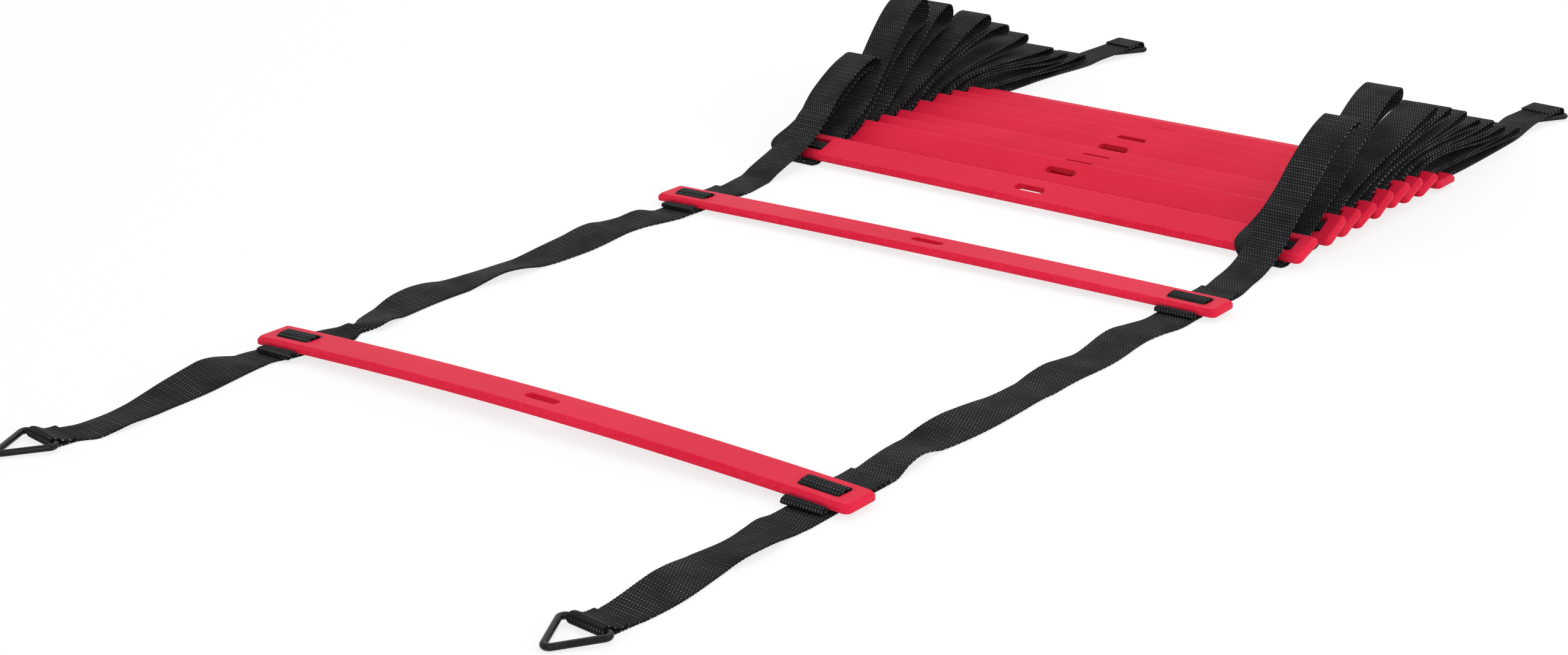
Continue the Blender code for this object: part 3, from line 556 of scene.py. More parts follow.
# The side straps: one long black polypropylene webbing on each side, woven with rows of small
# ribs. It lies wavy between the loose rungs, and in the stack it is folded in tall loops and
# passes round each rung's front edge. Each end is sewn back round a wire ring.
STACK_BAY = 0.440
FLOOR_RUN = 0.030
FIRST_RISES = {"left": 0.013, "right": 0.017}
FLOOR_ANGLES = {"left": 20.0, "right": 6.0}
TAIL_LENGTH = 0.1495
TAIL_REACH = 0.0435
FRONT_BAR_REACH = 0.027
REAR_BAR_REACH = 0.2413
WIRE = 0.004
END_WIDTH = 0.028
FRONT_HEM = 0.0165
REAR_HEM = 0.022
EYE_RADIUS = WIRE / 2 + GAP + HALF_WEB
BAR_HEIGHT = EYE_RADIUS + HALF_WEB
TAIL_DRIFT_SHARES = {
    "left": (-0.35, -0.30, -0.22, -0.14, -0.07, -0.03, -0.01, 0.00, 0.03, 0.10, 0.16, 0.16, 0.12),
    "right": (0.07, 0.04, 0.05, 0.10, 0.10, 0.05, 0.00, 0.04, 0.10, 0.15, 0.17, 0.16, 0.13),
}
TAIL_ROLLS = {
    "left": (0, -7, -14, -18, -17, -14, -10, -5, -1, 2, 4, 2, 0),
    "right": (0, -2, 3, 7, 8, 6, 1, -4, -8, -10, -8, -4, 0),
}
BAY_DRIFT_SHARES = {
    "left": (0.20, 0.06, -0.11, -0.20, -0.24, -0.26, -0.25, -0.21, -0.14, -0.09, -0.04, 0.01,
             0.04, 0.05, 0.01, -0.08, -0.16, -0.12, 0.04, 0.16),
    "right": (0.03, -0.05, -0.11, -0.11, -0.03, 0.03, 0.05, 0.04, 0.02, 0.02, 0.03, 0.02, 0.03,
              0.07, 0.09, 0.06, 0.00, -0.03, 0.03, 0.13),
}
BAY_ROLLS = {
    "left": (0, 8, 2, -7, -10, -8, -2, 5, 10, 8, 2, -4, -8, -11, -14, -12, -5, -3, -8, 0),
    "right": (0, 7, 8, 1, -9, -13, -11, -7, -2, 1, 0, -4, -6, -3, 0, -2, -4, -4, -1, 0),
}
FRONT_BAR_SHARES = {"left": -0.162, "right": 0.055}
REAR_BAR_SHARES = {"left": (0.728, 0.05), "right": (0.138, -0.05)}
FRONT_BAR_TURNS = {"left": -9.0, "right": -6.0}
REAR_BAR_TURNS = {"left": -8.0, "right": -8.0}
LOOP_LEANS = {
    "left": (24.0, 27.0, 20.5, 16.5, 10.5, 5.0, 0.0, -2.5, -2.0),
    "right": (35.0, 22.5, 13.5, 11.5, 7.5, 3.0, 1.0, -1.5, -1.0),
}
LOOP_HEADINGS = {
    "left": (-2.0, 0.0, 0.0, 7.5, -9.5, 5.0, 0.0, 1.5, 2.0),
    "right": (9.0, -3.5, 11.0, 3.0, 9.0, -2.0, 5.0, 4.5, 1.0),
}
LOOP_NOSE_SHARES = {
    "left": (0.14, 0.38, 0.30, 0.20, 0.15, 0.12, 0.10, 0.093, 0.093),
    "right": (0.13, 0.24, 0.14, 0.11, 0.10, 0.097, 0.093, 0.093, 0.093),
}
LOOP_DRIFT_SHARES = {
    "left": (-0.14, -0.21, -0.21, -0.07, -0.07, -0.07, 0.0, 0.0, 0.0),
    "right": (0.07, -0.07, 0.0, 0.0, 0.0, 0.0, 0.0, 0.0, 0.0),
}
FALL_SHIFT_SHARES = {
    "left": (-0.66, 0.0, 0.0, 0.0, 0.0, 0.0, 0.0, 0.0, 0.0),
    "right": (-0.47, -0.20, -0.10, -0.14, -0.02, -0.08, 0.0, 0.0, 0.0),
}
RISE_SHIFT_SHARES = {"left": -0.32, "right": -0.02}
TIP_SHIFT_SHARES = {"left": -0.05, "right": -0.13}
LOOP_ROWS = 9
TIP_ROWS = 6
FOOT_PULL = 0.20
TIP_PULL = 0.30
CLIMB_ANGLE = 42.0
REAR_LIFT = 1.33
REAR_FALL = 0.82
REAR_FLOOR_SHARES = (0.25, 0.5, 0.7, 0.85, 1.0)
REAR_CUT_SHARE = 0.7
REAR_LIFT_SHARE = 0.6
REAR_LAYER_SHARES = (0.85, 0.65, 0.45, 0.28)
REAR_DROP_SHARES = (0.5, 1.3, 2.2)
SETTLE_SHARES = (0.25, 0.35, 0.65)
SWELL_FROM = 0.35
SWELL_OVER = 0.6
RISE_SHARE = 0.6
FALL_HOLD = 0.8
ROW_PITCH = 0.00265
YARN_PITCH = 0.00215
ROW_STEP = ROW_PITCH / 2
SELVEDGE_NOTCH = 0.00022
PINCH_PLACE = HALF_WIDTH + 0.0345
PINCH_REACH = 0.0115
PINCH_SHARE = 0.56
PINCH_DRIFT = 0.0024
PINCH_HEIGHT = 0.0046


def slot_line(sign):
    """The line of the slots on one side."""
    return sign * HALF_SLOTS


def second_x(x):
    """Where a place on the second rung's middle line lies across the ladder."""
    return SECOND_SHIFT + x * math.cos(math.radians(SECOND_TURN))


def tail_lean(side):
    """How the strap under the first rung slants from its front fold to its rear fold."""
    front = TAIL_DRIFT_SHARES[side][0] * WEB_WIDTH
    rear = BAY_DRIFT_SHARES[side][0] * WEB_WIDTH
    return lambda y: front + (rear - front) * (y - FRONT_FOLD) / (FIRST_REAR_FOLD - FRONT_FOLD)


def lying(x, y, roll, turn=0.0):
    """A row on the floor: rolled by an angle, and lifted so that its low edge touches down."""
    roll, turn = math.radians(roll), math.radians(turn)
    height = HALF_WEB * math.cos(roll) + WEB_WIDTH / 2 * abs(math.sin(roll))
    across = (math.cos(roll) * math.cos(turn), math.cos(roll) * math.sin(turn), math.sin(roll))
    return (x, y, height), across, WEB_WIDTH


def stack_row(x, y, z):
    """A row of webbing over the stack, set back along the rungs' turn."""
    slant = math.tan(stack_turn)
    return (x, y - x * slant, z), unit(np.array([1, -slant, 0])), WEB_WIDTH


def quarter_turn(vectors):
    """Flat vectors turned to the left by a right angle."""
    return np.stack([-vectors[:, 1], vectors[:, 0]], axis=-1)


def loop_path(start, seat, lean, heading, nose, reach, rise, lift_off):
    """One loop seen from the side: a cubic centre line from the last rung's rear edge to the
    tip, with the rising and falling webbing either side of it, half a circle at the tip and
    another round the next rung's front edge."""
    level = float((start - seat.origin) @ seat.up)
    apart = rise or max(level - OVER_LEVEL, WEB_THICKNESS + 2 * GAP)
    foot = seat.at(HALF_WIDTH, OVER_LEVEL + apart / 2)
    tip = foot + reach * along(lean)
    middle = bow(foot, foot + FOOT_PULL * reach * seat.back,
                 tip - TIP_PULL * reach * along(heading), tip, LOOP_ROWS)
    step = np.gradient(middle, axis=0)
    step[0], step[-1] = seat.back, along(heading)
    side_of = quarter_turn(unit(step))
    share = np.linspace(0, 1, LOOP_ROWS)
    half = apart / 2 + (nose - apart / 2) * ease((share - SWELL_FROM) / SWELL_OVER)
    rising = middle + half[:, None] * side_of
    falling = (middle - half[:, None] * side_of)[::-1]
    top = arc(tip, nose, heading + 90, heading - 90, TIP_ROWS + 2)[1:-1]
    if rise:
        lead = bow(start, start + FLOOR_RUN * along(lift_off),
                   rising[0] - FLOOR_RUN * along(CLIMB_ANGLE), rising[0], 8)[:-1]
    else:
        lead = np.array([start])
    belly = arc(seat.at(-HALF_WIDTH - BELLY_REACH, BELLY_MIDDLE), BELLY_RADIUS, seat.tilt + 90,
                seat.tilt + 270, 9)
    up_path = np.vstack([lead, rising])
    return np.vstack([up_path, top, falling, belly, seat.at(0, STRAP_LEVEL)[None]]), up_path


def fitted_loop(start, seat, side, index, length, rise):
    """The loop whose reach, found by halving, uses up the webbing of its bay."""
    short, long = RUNG_WIDTH, STACK_BAY
    for _ in range(40):
        reach = (short + long) / 2
        path, up_path = loop_path(start, seat, LOOP_LEANS[side][index],
                                  LOOP_HEADINGS[side][index],
                                  LOOP_NOSE_SHARES[side][index] * WEB_WIDTH, reach, rise,
                                  FLOOR_ANGLES[side])
        if np.linalg.norm(np.diff(path, axis=0), axis=1).sum() > length:
            long = reach
        else:
            short = reach
    return path, up_path


def front_bar(side, sign, height):
    """The middle of a front ring's bar, at a height."""
    return np.array([slot_line(sign) + FRONT_BAR_SHARES[side] * WEB_WIDTH,
                     FRONT_FOLD - TAIL_LENGTH - FRONT_BAR_REACH, height])


def rear_point(side, sign, back, height):
    """A point in a rear end's own plane: back from the ring's bar, and above the bar."""
    beside, behind = REAR_BAR_SHARES[side]
    leave = seats[-1].at(HALF_WIDTH, STRAP_LEVEL)
    bar = np.array([slot_line(sign) + beside * WEB_WIDTH,
                    leave[0] + REAR_BAR_REACH + behind * WEB_WIDTH, BAR_HEIGHT + height])
    return bar - turn_about("Z", REAR_BAR_TURNS[side]) @ np.array([0, back, 0])


def rear_lift(back):
    """How high the lower layer of a rear end lies above the bar's height."""
    return EYE_RADIUS * (REAR_LIFT - REAR_FALL * ease((back - 2 * EYE_RADIUS) / TAIL_REACH))


def front_rows(side, sign):
    """The front end from its sewn tip: back over the ring's bar and along the floor."""
    turn = FRONT_BAR_TURNS[side]
    heading = turn_about("Z", turn)
    bar = front_bar(side, sign, 0)
    eye = arc((0.0, BAR_HEIGHT), EYE_RADIUS, 270, 90, 11)
    top_layer = SEAT_HEIGHT - HALF_WEB
    first, second, last = FRONT_HEM * np.array(SETTLE_SHARES)
    settle = bow(np.array([0, BAR_HEIGHT + EYE_RADIUS]),
                 np.array([first, BAR_HEIGHT + EYE_RADIUS]),
                 np.array([second, top_layer]), np.array([last, top_layer]), 8)
    rows = []
    drifts = TAIL_DRIFT_SHARES[side]
    runs = np.linspace(FRONT_FOLD, FRONT_FOLD - TAIL_LENGTH, len(drifts))
    for index, (y, drift, roll) in enumerate(zip(runs, drifts, TAIL_ROLLS[side])):
        share = index / (len(drifts) - 1)
        rows.append(lying(slot_line(sign) + drift * WEB_WIDTH, y, roll, turn * share**3))
    lead = [(back, HALF_WEB) for back in (FRONT_HEM, FRONT_HEM / 2, EYE_RADIUS)]
    for back, height in lead + list(eye) + list(settle[1:]) + [(FRONT_HEM, top_layer)]:
        rows.append((bar + heading @ np.array([0, back, 0]) + (0, 0, height),
                     heading @ np.array([1, 0, 0]), END_WIDTH))
    return rows[::-1]


def strap_rows(side, sign):
    """All rows of one strap from its front tip to its rear tip, with the places to cut it."""
    line = slot_line(sign)
    lean = tail_lean(side)
    rows = front_rows(side, sign)[:-1]
    cuts = []
    for k, y in enumerate(np.linspace(FRONT_FOLD, FIRST_REAR_FOLD, 5)):
        if k == 2:
            cuts.append(len(rows))
        rows.append(lying(line + lean(y), y, 0))
    drifts = BAY_DRIFT_SHARES[side]
    runs = np.linspace(FIRST_REAR_FOLD, SECOND_FRONT_FOLD, len(drifts))
    for k, (y, drift, roll) in enumerate(zip(runs, drifts, BAY_ROLLS[side])):
        if k == 10:
            cuts.append(len(rows))
        if 0 < k < len(drifts) - 1:
            rows.append(lying(line + drift * WEB_WIDTH, y, roll))
    under = second_x(line)
    for k, y in enumerate(np.linspace(SECOND_FRONT_FOLD, CREASE, 5)):
        if k == 2:
            cuts.append(len(rows))
        rows.append(lying(under, y, 0))
    start = np.array([CREASE + GAP / 2 + under * math.tan(stack_turn), HALF_WEB])
    flat_end = start + (FLOOR_RUN, 0)
    y, z = (start + flat_end) / 2
    x = (under + line) / 2
    cuts.append(len(rows))
    rows.append(((x, y - under * math.tan(stack_turn), z), (1, 0, 0), WEB_WIDTH))
    spent = FLOOR_RUN + HALF_WIDTH + REAR_FLAP + FOLD_SPACE
    flaps = []
    for index, seat in enumerate(seats):
        if index == 0:
            path, up_path = fitted_loop(flat_end, seat, side, index, STACK_BAY - spent,
                                        FIRST_RISES[side])
        else:
            here = seats[index - 1].at(HALF_WIDTH, STRAP_LEVEL)
            path, up_path = fitted_loop(here, seat, side, index, STACK_BAY - HALF_WIDTH, 0.0)
            flaps.append(up_path)
        edge = seat.at(HALF_WIDTH, 0)
        climbed = len(up_path)
        foot = climbed + TIP_ROWS + LOOP_ROWS - 1
        fall = FALL_SHIFT_SHARES[side][index]
        rise = RISE_SHIFT_SHARES[side] if index == 0 else 0.0
        tip = TIP_SHIFT_SHARES[side] if index == 0 else fall / 4
        shifts = WEB_WIDTH * np.interp(
            np.arange(len(path)),
            (0, climbed * RISE_SHARE, climbed + TIP_ROWS / 2, foot, foot + 1, len(path) - 2,
             len(path) - 1), (0, rise, tip, fall, fall * FALL_HOLD, 0, 0))
        for (y, z), shift in zip(path, shifts):
            away = max(0.0, y - edge[0])
            rows.append(stack_row(line + LOOP_DRIFT_SHARES[side][index] * away + shift, y, z))
    last = seats[-1]
    leave = last.at(HALF_WIDTH, STRAP_LEVEL)
    first, second, landed = RUNG_WIDTH * np.array(REAR_DROP_SHARES)
    drop = bow(leave, leave + first * last.back, np.array([leave[0] + second, HALF_WEB]),
               np.array([leave[0] + landed, HALF_WEB]), 7)
    flaps.append(drop)
    for y, z in drop:
        rows.append(stack_row(line, y, z))
    heading = turn_about("Z", REAR_BAR_TURNS[side])
    aim = heading @ np.array([1, 0, 0])
    target = rear_point(side, sign, TAIL_REACH, rear_lift(TAIL_REACH))
    from_y = rows[-1][0][1]
    rung_across = np.array([math.cos(stack_turn), -math.sin(stack_turn), 0])
    for share in REAR_FLOOR_SHARES:
        y = from_y + (target[1] - from_y) * share
        x = line + (target[0] - line) * share**1.5
        lifted = ease((share - REAR_LIFT_SHARE) / (1 - REAR_LIFT_SHARE))
        z = HALF_WEB + (target[2] - HALF_WEB) * lifted
        across = rung_across * (1 - share) + aim * share
        if share == REAR_CUT_SHARE:
            cuts.append(len(rows))
        rows.append(((x, y, z), unit(across), WEB_WIDTH))
    rows[-1] = (target, aim, WEB_WIDTH)
    radius = EYE_RADIUS
    lower = [(back, rear_lift(back)) for back in TAIL_REACH * np.array(REAR_LAYER_SHARES)]
    turn_down = arc((2 * radius, radius / 3), radius, 90, 180, 6)
    eye = arc((0, 0), radius, 0, -180, 11)
    climb = bow(np.array([-radius, 0]), np.array([-radius, radius * 1.3]),
                np.array([-radius * 0.6, radius * 2.0]), np.array([radius, radius * 2.0]), 8)
    over_hem = [(back, rear_lift(back) + WEB_THICKNESS + GAP) for back in
                REAR_HEM * np.array((0.5, 0.75, 1.0))]
    for back, height in lower + list(turn_down) + list(eye) + list(climb[1:]) + over_hem:
        width = END_WIDTH + (WEB_WIDTH - END_WIDTH) * ease((back - REAR_HEM) / REAR_HEM)
        rows.append((rear_point(side, sign, back, height), aim, width))
    return rows, cuts, flaps


def smooth_rows(rows, step):
    """Rows at an even step: cubic Hermite pieces through the given rows, by distance run."""
    data = np.array([np.concatenate([p, a, [w]]) for p, a, w in rows], dtype=float)
    gaps = np.linalg.norm(np.diff(data[:, :3], axis=0), axis=1)
    keep = np.concatenate([[True], gaps > 1e-5])
    data = data[keep]
    run = np.concatenate([[0], np.cumsum(np.linalg.norm(np.diff(data[:, :3], axis=0), axis=1))])
    slope = np.gradient(data, run, axis=0)
    spots = np.linspace(0, run[-1], max(2, int(round(run[-1] / step)) + 1))
    k = np.clip(np.searchsorted(run, spots, side="right") - 1, 0, len(run) - 2)
    gap = (run[k + 1] - run[k])[:, None]
    t = ((spots - run[k]) / gap[:, 0])[:, None]
    out = ((2 * t**3 - 3 * t**2 + 1) * data[k] + (t**3 - 2 * t**2 + t) * gap * slope[k]
           + (3 * t**2 - 2 * t**3) * data[k + 1] + (t**3 - t**2) * gap * slope[k + 1])
    out[:, 3:6] = unit(out[:, 3:6])
    place_of = np.cumsum(keep) - 1
    return out, spots, run[place_of]


def pinched(side, points, widths):
    """Where the left strap is gathered behind the first rung: by a bell curve along Y its width
    shrinks, its middle line moves outward, and its middle stands up above its edges."""
    if side == "right":
        return points, widths, np.zeros(len(widths))
    bell = np.exp(-((points[:, 1] - PINCH_PLACE) / PINCH_REACH) ** 2)
    moved = points - bell[:, None] * (PINCH_DRIFT, 0, 0)
    return moved, widths * (1 - PINCH_SHARE * bell), PINCH_HEIGHT * bell


def ribbon(points, across, widths, runs, gutter, thickness=WEB_THICKNESS, notch=SELVEDGE_NOTCH):
    """A webbing's closed surface: a flat section with rounded edges and saw-toothed selvedges,
    carried along the rows, its middle raised by gutter in a parabola. Returns its points, its
    faces and a weave place, along and across, for each point."""
    tangent = np.gradient(points, axis=0)
    up = unit(np.cross(across, tangent))
    half = thickness / 2
    inset = np.array([0.0005, 0.0001, 0.0, 0.0001, 0.0005])
    lift = np.array([1.0, 0.72, 0.0, -0.72, -1.0]) * half
    spread = np.array([0.62, 0.2, -0.2, -0.62])
    section = widths[:, None] / 2
    tooth = 1 - 2 * (np.arange(len(points)) % 2)
    scallop = notch * tooth[:, None] * np.array([0.3, 1, 1, 1, 0.3])
    right_side = section - inset - scallop
    middle = section * spread
    offset = np.concatenate([right_side, middle, -right_side[:, ::-1], -middle], axis=1)
    heights = np.concatenate([lift, np.full(4, -half), lift[::-1], np.full(4, half)])
    bowed = gutter[:, None] * (1 - (offset / section) ** 2)
    rings = (points[:, None] + across[:, None] * offset[..., None]
             + up[:, None] * (heights[None, :] + bowed)[..., None])
    count = offset.shape[1]
    weave = np.stack([np.repeat(runs[:, None], count, axis=1), offset + widths[:, None] / 2],
                     axis=-1)
    faces = ring_faces(0, count, len(points))[:, ::-1]
    total = count * len(points)
    caps = [np.arange(count)[None, :], (total - count + np.arange(count))[None, ::-1]]
    return rings.reshape(-1, 3), [faces] + caps, weave.reshape(-1, 2)


def web_piece(name, side, fine, runs):
    """A piece of webbing from its smooth rows and how far along the webbing they lie."""
    middle, widths, gutter = pinched(side, fine[:, :3], fine[:, 6])
    points, faces, weave_places = ribbon(middle, fine[:, 3:6], widths, runs, gutter)
    return new_piece(name, points + SHIFT, faces, black_webbing, uv=weave_places)


DARK_YARN = (0.0040, 0.0042, 0.0048, 1)
PALE_YARN = (0.0068, 0.0070, 0.0078, 1)
RIB_GREY = (0.011, 0.0115, 0.0125, 1)
# The pale grey below is a painted highlight for the crowns of the ribs, not a colour of the yarn.
PAINTED_HIGHLIGHT_GREY = (0.21, 0.223, 0.228, 1)

black_webbing = Finish("black_woven_webbing", {"Specular IOR Level": 0.12})
weave = black_webbing.node("ShaderNodeUVMap", {"uv_map": "weave"}, ())
run_of = black_webbing.node("ShaderNodeSeparateXYZ", {}, (weave,))
side_of_web = black_webbing.node("ShaderNodeSeparateXYZ", {}, (weave,), 1)
row_wave = (run_of * (math.pi / ROW_PITCH)).math("COSINE")
yarn_wave = (side_of_web * (2 * math.pi / YARN_PITCH)).math("COSINE")
crown = row_wave * yarn_wave
ribs = row_wave.math("ABSOLUTE")
body_place = black_webbing.node("ShaderNodeTexCoord", {}, (), "Object")
yarn_noise = black_webbing.node("ShaderNodeTexNoise", {}, {"Vector": body_place, "Scale": 2600.0,
                                                           "Detail": 2.0})
patch = black_webbing.node("ShaderNodeTexNoise", {}, {"Vector": body_place, "Scale": 45.0,
                                                      "Detail": 3.0})
# Painted highlights: pale grey spots on the crowns of the ribs, where the yarns would catch the
# light, in random patches; they are also made less rough there.
painted_highlights = crown.step(0.50, 0.95) * (0.75 + 0.25 * row_wave) * patch.step(0.2, 0.75)
ground = black_webbing.mix(patch.step(0.3, 0.7), DARK_YARN, PALE_YARN)
ground = black_webbing.mix(ribs.step(0.2, 0.9) * 0.5, ground, RIB_GREY)
black_webbing.feed("Base Color", black_webbing.mix(painted_highlights, ground, PAINTED_HIGHLIGHT_GREY))
black_webbing.feed("Roughness", 0.74 - 0.22 * painted_highlights + 0.10 * yarn_noise)
black_webbing.bump(ribs * 0.55 + crown.step(-0.2, 1.0) * 0.6 + yarn_noise * 0.08, 0.55, 0.00035)

STRAP_PIECES = (
    ("front_end", ("front_tail_%s", "rung_1_section"), "front_tail_strap_%s"),
    ("first_bay_front", ("rung_1_section", "bay_1_straps"), "rung_1_strap_%s"),
    ("first_bay_rear", ("bay_1_straps", "rung_2_section"), "bay_1_strap_%s"),
    ("crease", ("rung_2_section", "stack"), "rung_2_strap_%s"),
    ("folded", ("stack",), "stack_strap_%s"),
    ("rear_end", ("stack", "rear_end_%s"), "rear_end_strap_%s"),
)
FOLD_LINES = (("front_end", FRONT_FOLD), ("first_bay_front", FIRST_REAR_FOLD),
              ("first_bay_rear", SECOND_FRONT_FOLD), ("crease", CREASE))
keeper_flaps = {}
for side, sign in SIDES:
    rows, cuts, keeper_flaps[side] = strap_rows(side, sign)
    fine, runs, run_of_row = smooth_rows(rows, ROW_STEP)
    fine[:, 2] = np.maximum(fine[:, 2], HALF_WEB + fine[:, 6] / 2 * np.abs(fine[:, 5]))
    edges = [0] + [int(np.argmin(np.abs(runs - run_of_row[cut]))) for cut in cuts]
    edges.append(len(runs) - 1)
    folds = {label: (np.array([0, y, 0]), np.array([0, 1, 0])) for label, y in FOLD_LINES}
    folds["rear_end"] = (rear_point(side, sign, TAIL_REACH, rear_lift(TAIL_REACH)),
                         turn_about("Z", REAR_BAR_TURNS[side]) @ np.array([0, 1, 0]))
    for k, (label, bodies, node) in enumerate(STRAP_PIECES):
        part = slice(edges[k], edges[k + 1] + 1)
        cut_length = float(runs[part][-1] - runs[part][0])
        piece = web_piece("webbing_%s_%s" % (label, side), side, fine[part], runs[part])
        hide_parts(node % side)
        names = [body % side if "%s" in body else body for body in bodies]
        if len(names) == 1:
            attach(piece, names[0])
        else:
            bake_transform(piece)

# The keepers: a short webbing at each slot, sewn to the strap, that comes up through the slot in
# front of its bar, arches over the bar and goes down again behind it. A loose rung's keeper ends
# in a rolled hem in front of the rung, and lies flat on the strap behind it.
HEM_LENGTH = 0.0065
HEM_RADIUS = 0.0011
BEND_RADIUS = 0.0018
FRONT_FLAPS = {(1, "left"): 0.0078, (1, "right"): 0.0066, (2, "left"): 0.0086, (2, "right"): 0.0060}
FRONT_SHIFTS = {(1, "left"): 0.0060, (1, "right"): -0.0030, (2, "left"): 0.0, (2, "right"): -0.0015}
CROWN = 0.0013
WALL_GAP = 0.0001
ARCH_BENDS = (0.0012, 0.0010, 0.0016, 0.0016, 0.0010, 0.0012)
FLOOR_START = 1.1
FLOOR_FADE = 0.5
SEWN_START = 0.6
SEWN_FADE = 0.6


def keeper_core():
    """The keeper's way through the slot: a low trapezoid over the bar with round corners."""
    low_at = SLOT_WIDTH / 2 - WEB_THICKNESS * 0.85
    high_at = BAR_WIDTH / 2 + WEB_THICKNESS * 0.55
    reach = low_at + 2 * BEND_RADIUS
    corners = [(-reach, KEEPER_LEVEL), (-low_at, KEEPER_LEVEL), (-high_at, BAR_LEVEL),
               (high_at, BAR_LEVEL), (low_at, KEEPER_LEVEL), (reach, KEEPER_LEVEL)]
    return rounded(corners, (BEND_RADIUS,) * 4, 5)


def arched_core():
    """A loose rung's keeper in its slot: up the front wall, over in an arch that stands a little
    above the rung and is highest behind the bar, and down the rear wall."""
    wall = SLOT_WIDTH / 2 - HALF_WEB - WALL_GAP
    top = RUNG_THICKNESS + CROWN
    corners = [(-wall - 2 * BEND_RADIUS, KEEPER_LEVEL), (-wall, KEEPER_LEVEL),
               (-wall, RUNG_THICKNESS * 0.8), (-wall * 0.55, top - CROWN * 0.35),
               (wall * 0.55, top), (wall, RUNG_THICKNESS * 0.92), (wall, KEEPER_LEVEL),
               (wall + 2 * BEND_RADIUS, KEEPER_LEVEL)]
    return rounded(corners, ARCH_BENDS, 5)


def flat_keeper_rows(sign, spot, lean, flap, shift):
    """A loose rung's keeper: a rolled hem in front, the flap, the slot and the rear flap, which
    ends flat on the strap. Near its rung it follows the arch and the arch's slope, which is the
    parabola's derivative, and further out it follows the strap's slant."""
    front, rear = -(HALF_WIDTH + flap), HALF_WIDTH + REAR_FLAP
    path = [(front + min(HEM_LENGTH, flap * 0.8), KEEPER_LEVEL + 2 * HEM_RADIUS)]
    path += list(arc((front + HEM_RADIUS, KEEPER_LEVEL + HEM_RADIUS), HEM_RADIUS, 90, 270, 8))
    path.append((-HALF_WIDTH - flap / 3, KEEPER_LEVEL))
    path += list(arched_core())
    path += [(HALF_WIDTH + REAR_FLAP * share, KEEPER_LEVEL) for share in (0.17, 0.5, 0.8)]
    path += [(rear, KEEPER_LEVEL + GAP)]
    rows = []
    x = slot_line(sign)
    for u, v in path:
        under = 1 - ease((abs(u) - HALF_WIDTH * FLOOR_START) / (FRONT_FLAP * FLOOR_FADE))
        slope = -8 * spot.arch * x / RUNG_LENGTH**2 * under
        sewn = ease((abs(u) - HALF_WIDTH * SEWN_START) / (FRONT_FLAP * SEWN_FADE))
        bent = shift * ease((-u - HALF_WIDTH * SEWN_START) / flap)
        point = np.array([x + lean(u) * sewn + bent, u, v + arch_at(x, spot.arch) * under])
        across = np.array([1, 0, slope]) / math.hypot(1, slope)
        rows.append((spot.put(point), spot.rotation @ across, WEB_WIDTH))
    return rows


def stack_keeper_rows(sign, spot, seat, strap_path):
    """A stacked rung's keeper: out of the belly, through the slot, and up on the strap."""
    inner = BELLY_RADIUS - WEB_THICKNESS - GAP
    curl = arc((-HALF_WIDTH - BELLY_REACH, BELLY_MIDDLE), inner, 205, 270, 5)
    rung_across = np.array([math.cos(stack_turn), -math.sin(stack_turn), 0])
    rows = [(spot.put(np.array([slot_line(sign), u, v])), rung_across, WEB_WIDTH)
            for u, v in list(curl) + list(keeper_core())]
    step = unit(np.gradient(strap_path, axis=0))
    flap = strap_path + (WEB_THICKNESS + GAP) * quarter_turn(step)
    flap[0] = seat.at(HALF_WIDTH, KEEPER_LEVEL)
    run = np.concatenate([[0], np.cumsum(np.linalg.norm(np.diff(flap, axis=0), axis=1))])
    for distance in np.linspace(0, REAR_FLAP, 5):
        y, z = (np.interp(distance, run, flap[:, 0]), np.interp(distance, run, flap[:, 1]))
        rows.append(stack_row(slot_line(sign), y, z))
    return rows


for side, sign in SIDES:
    for number, spot in enumerate(places, start=1):
        key = (number, side)
        if number < 3:
            rows = flat_keeper_rows(sign, spot, tail_lean(side) if number == 1 else lambda u: 0.0,
                                    FRONT_FLAPS[key], FRONT_SHIFTS[key])
        else:
            rows = stack_keeper_rows(sign, spot, seats[number - 3],
                                     keeper_flaps[side][number - 3])
        fine, runs, _ = smooth_rows(rows, ROW_STEP / 2)
        keeper = web_piece("sewn_keeper_%02d_%s" % (number, side), side, fine, runs)
        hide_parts("keeper_%02d_%s" % (number, side))
        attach(keeper, RUNG_BODIES[number - 1])
        "moulded_rung_%02d" % number

# The rings: four closed triangles of steel wire, coated glossy black, one in each sewn
# strap end. The front ones lie out on the floor and the rear ones are folded back under.
RING_BAR = 0.0300
RING_CORNER = 0.0036
RING_ANGLE = 58.0
RING_WIRE = 0.0044
WIRE_FACETS = 20
WIRE_BLACK = (0.006, 0.006, 0.007, 1)
RUBBED_WIRE = (0.030, 0.030, 0.033, 1)

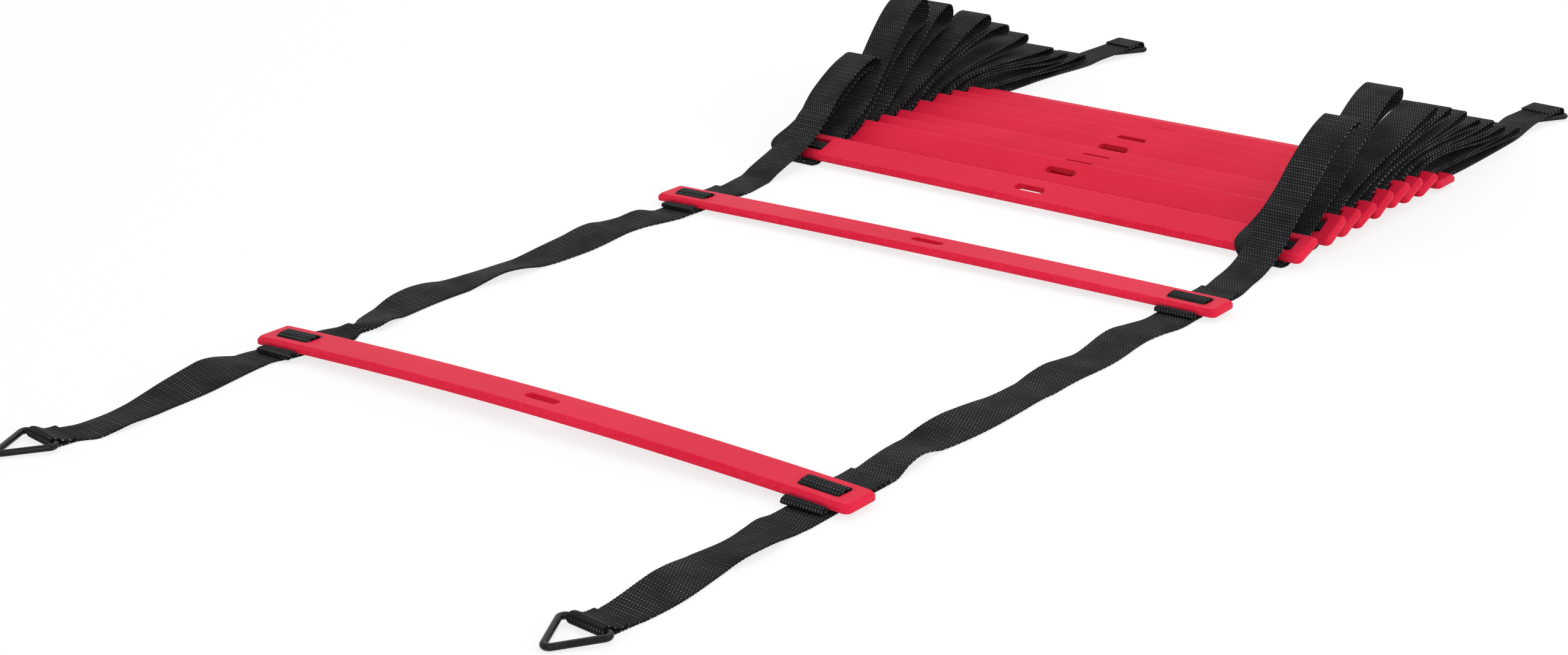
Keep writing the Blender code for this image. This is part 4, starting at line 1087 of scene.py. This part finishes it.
black_wire = Finish("black_coated_wire", {"Specular IOR Level": 0.14, "Coat Weight": 0.10,
                                          "Coat Roughness": 0.08})
wire_place = black_wire.node("ShaderNodeTexCoord", {}, (), "Object")
grain = black_wire.node("ShaderNodeTexNoise", {}, {"Vector": wire_place, "Scale": 700.0,
                                                   "Detail": 4.0})
rub = black_wire.node("ShaderNodeTexNoise", {}, {"Vector": wire_place, "Scale": 130.0,
                                                 "Detail": 3.0})
black_wire.feed("Base Color", black_wire.mix(rub.step(0.55, 0.8) * 0.6, WIRE_BLACK, RUBBED_WIRE))
black_wire.feed("Roughness", 0.16 + 0.14 * grain)
black_wire.bump(grain + rub * 2.0, 0.10, 0.0003)


def ring_line():
    """The wire's centre line: a triangle with its base on X and its tip towards -Y, each
    corner an arc. Returns the line and how far the tip's wire lies from the base."""
    corner_x = RING_BAR / 2 + RING_CORNER / math.tan(math.radians(RING_ANGLE) / 2)
    tip = corner_x * math.tan(math.radians(RING_ANGLE))
    line = rounded([(0, 0), (corner_x, 0), (0, -tip), (-corner_x, 0), (0, 0)],
                   (RING_CORNER,) * 3, 14)[:-1]
    return line, -line[:, 1].min()


def wire_ring(line):
    """A tube of round section carried round a closed flat line."""
    ahead_of = unit(np.roll(line, -1, axis=0) - np.roll(line, 1, axis=0))
    side_way = at_level(quarter_turn(ahead_of), 0.0)
    turn = np.linspace(0, 2 * math.pi, WIRE_FACETS, endpoint=False)
    rings = (at_level(line, 0.0)[:, None]
             + RING_WIRE / 2 * (np.cos(turn)[None, :, None] * side_way[:, None]
                                + np.sin(turn)[None, :, None] * np.array([0, 0, 1])))
    return rings.reshape(-1, 3), [ring_faces(0, WIRE_FACETS, len(line), closed=True)]


line, ring_reach = ring_line()
ring_points, ring_mesh_faces = wire_ring(line)
dip = turn_about("X", math.degrees(math.asin((BAR_HEIGHT - RING_WIRE / 2) / ring_reach)))
for side, sign in SIDES:
    for end, bar, turn in (("front", front_bar(side, sign, BAR_HEIGHT), FRONT_BAR_TURNS[side]),
                           ("rear", rear_point(side, sign, 0, 0), REAR_BAR_TURNS[side])):
        where = Place(bar, turn_about("Z", turn) @ dip)
        ring = new_piece("wire_ring_%s_%s" % (end, side), where.put(ring_points) + SHIFT,
                         ring_mesh_faces, black_wire)
        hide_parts("ring_%s_%s" % (end, side))
        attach(ring, "%s_ring_%s" % (end, side))
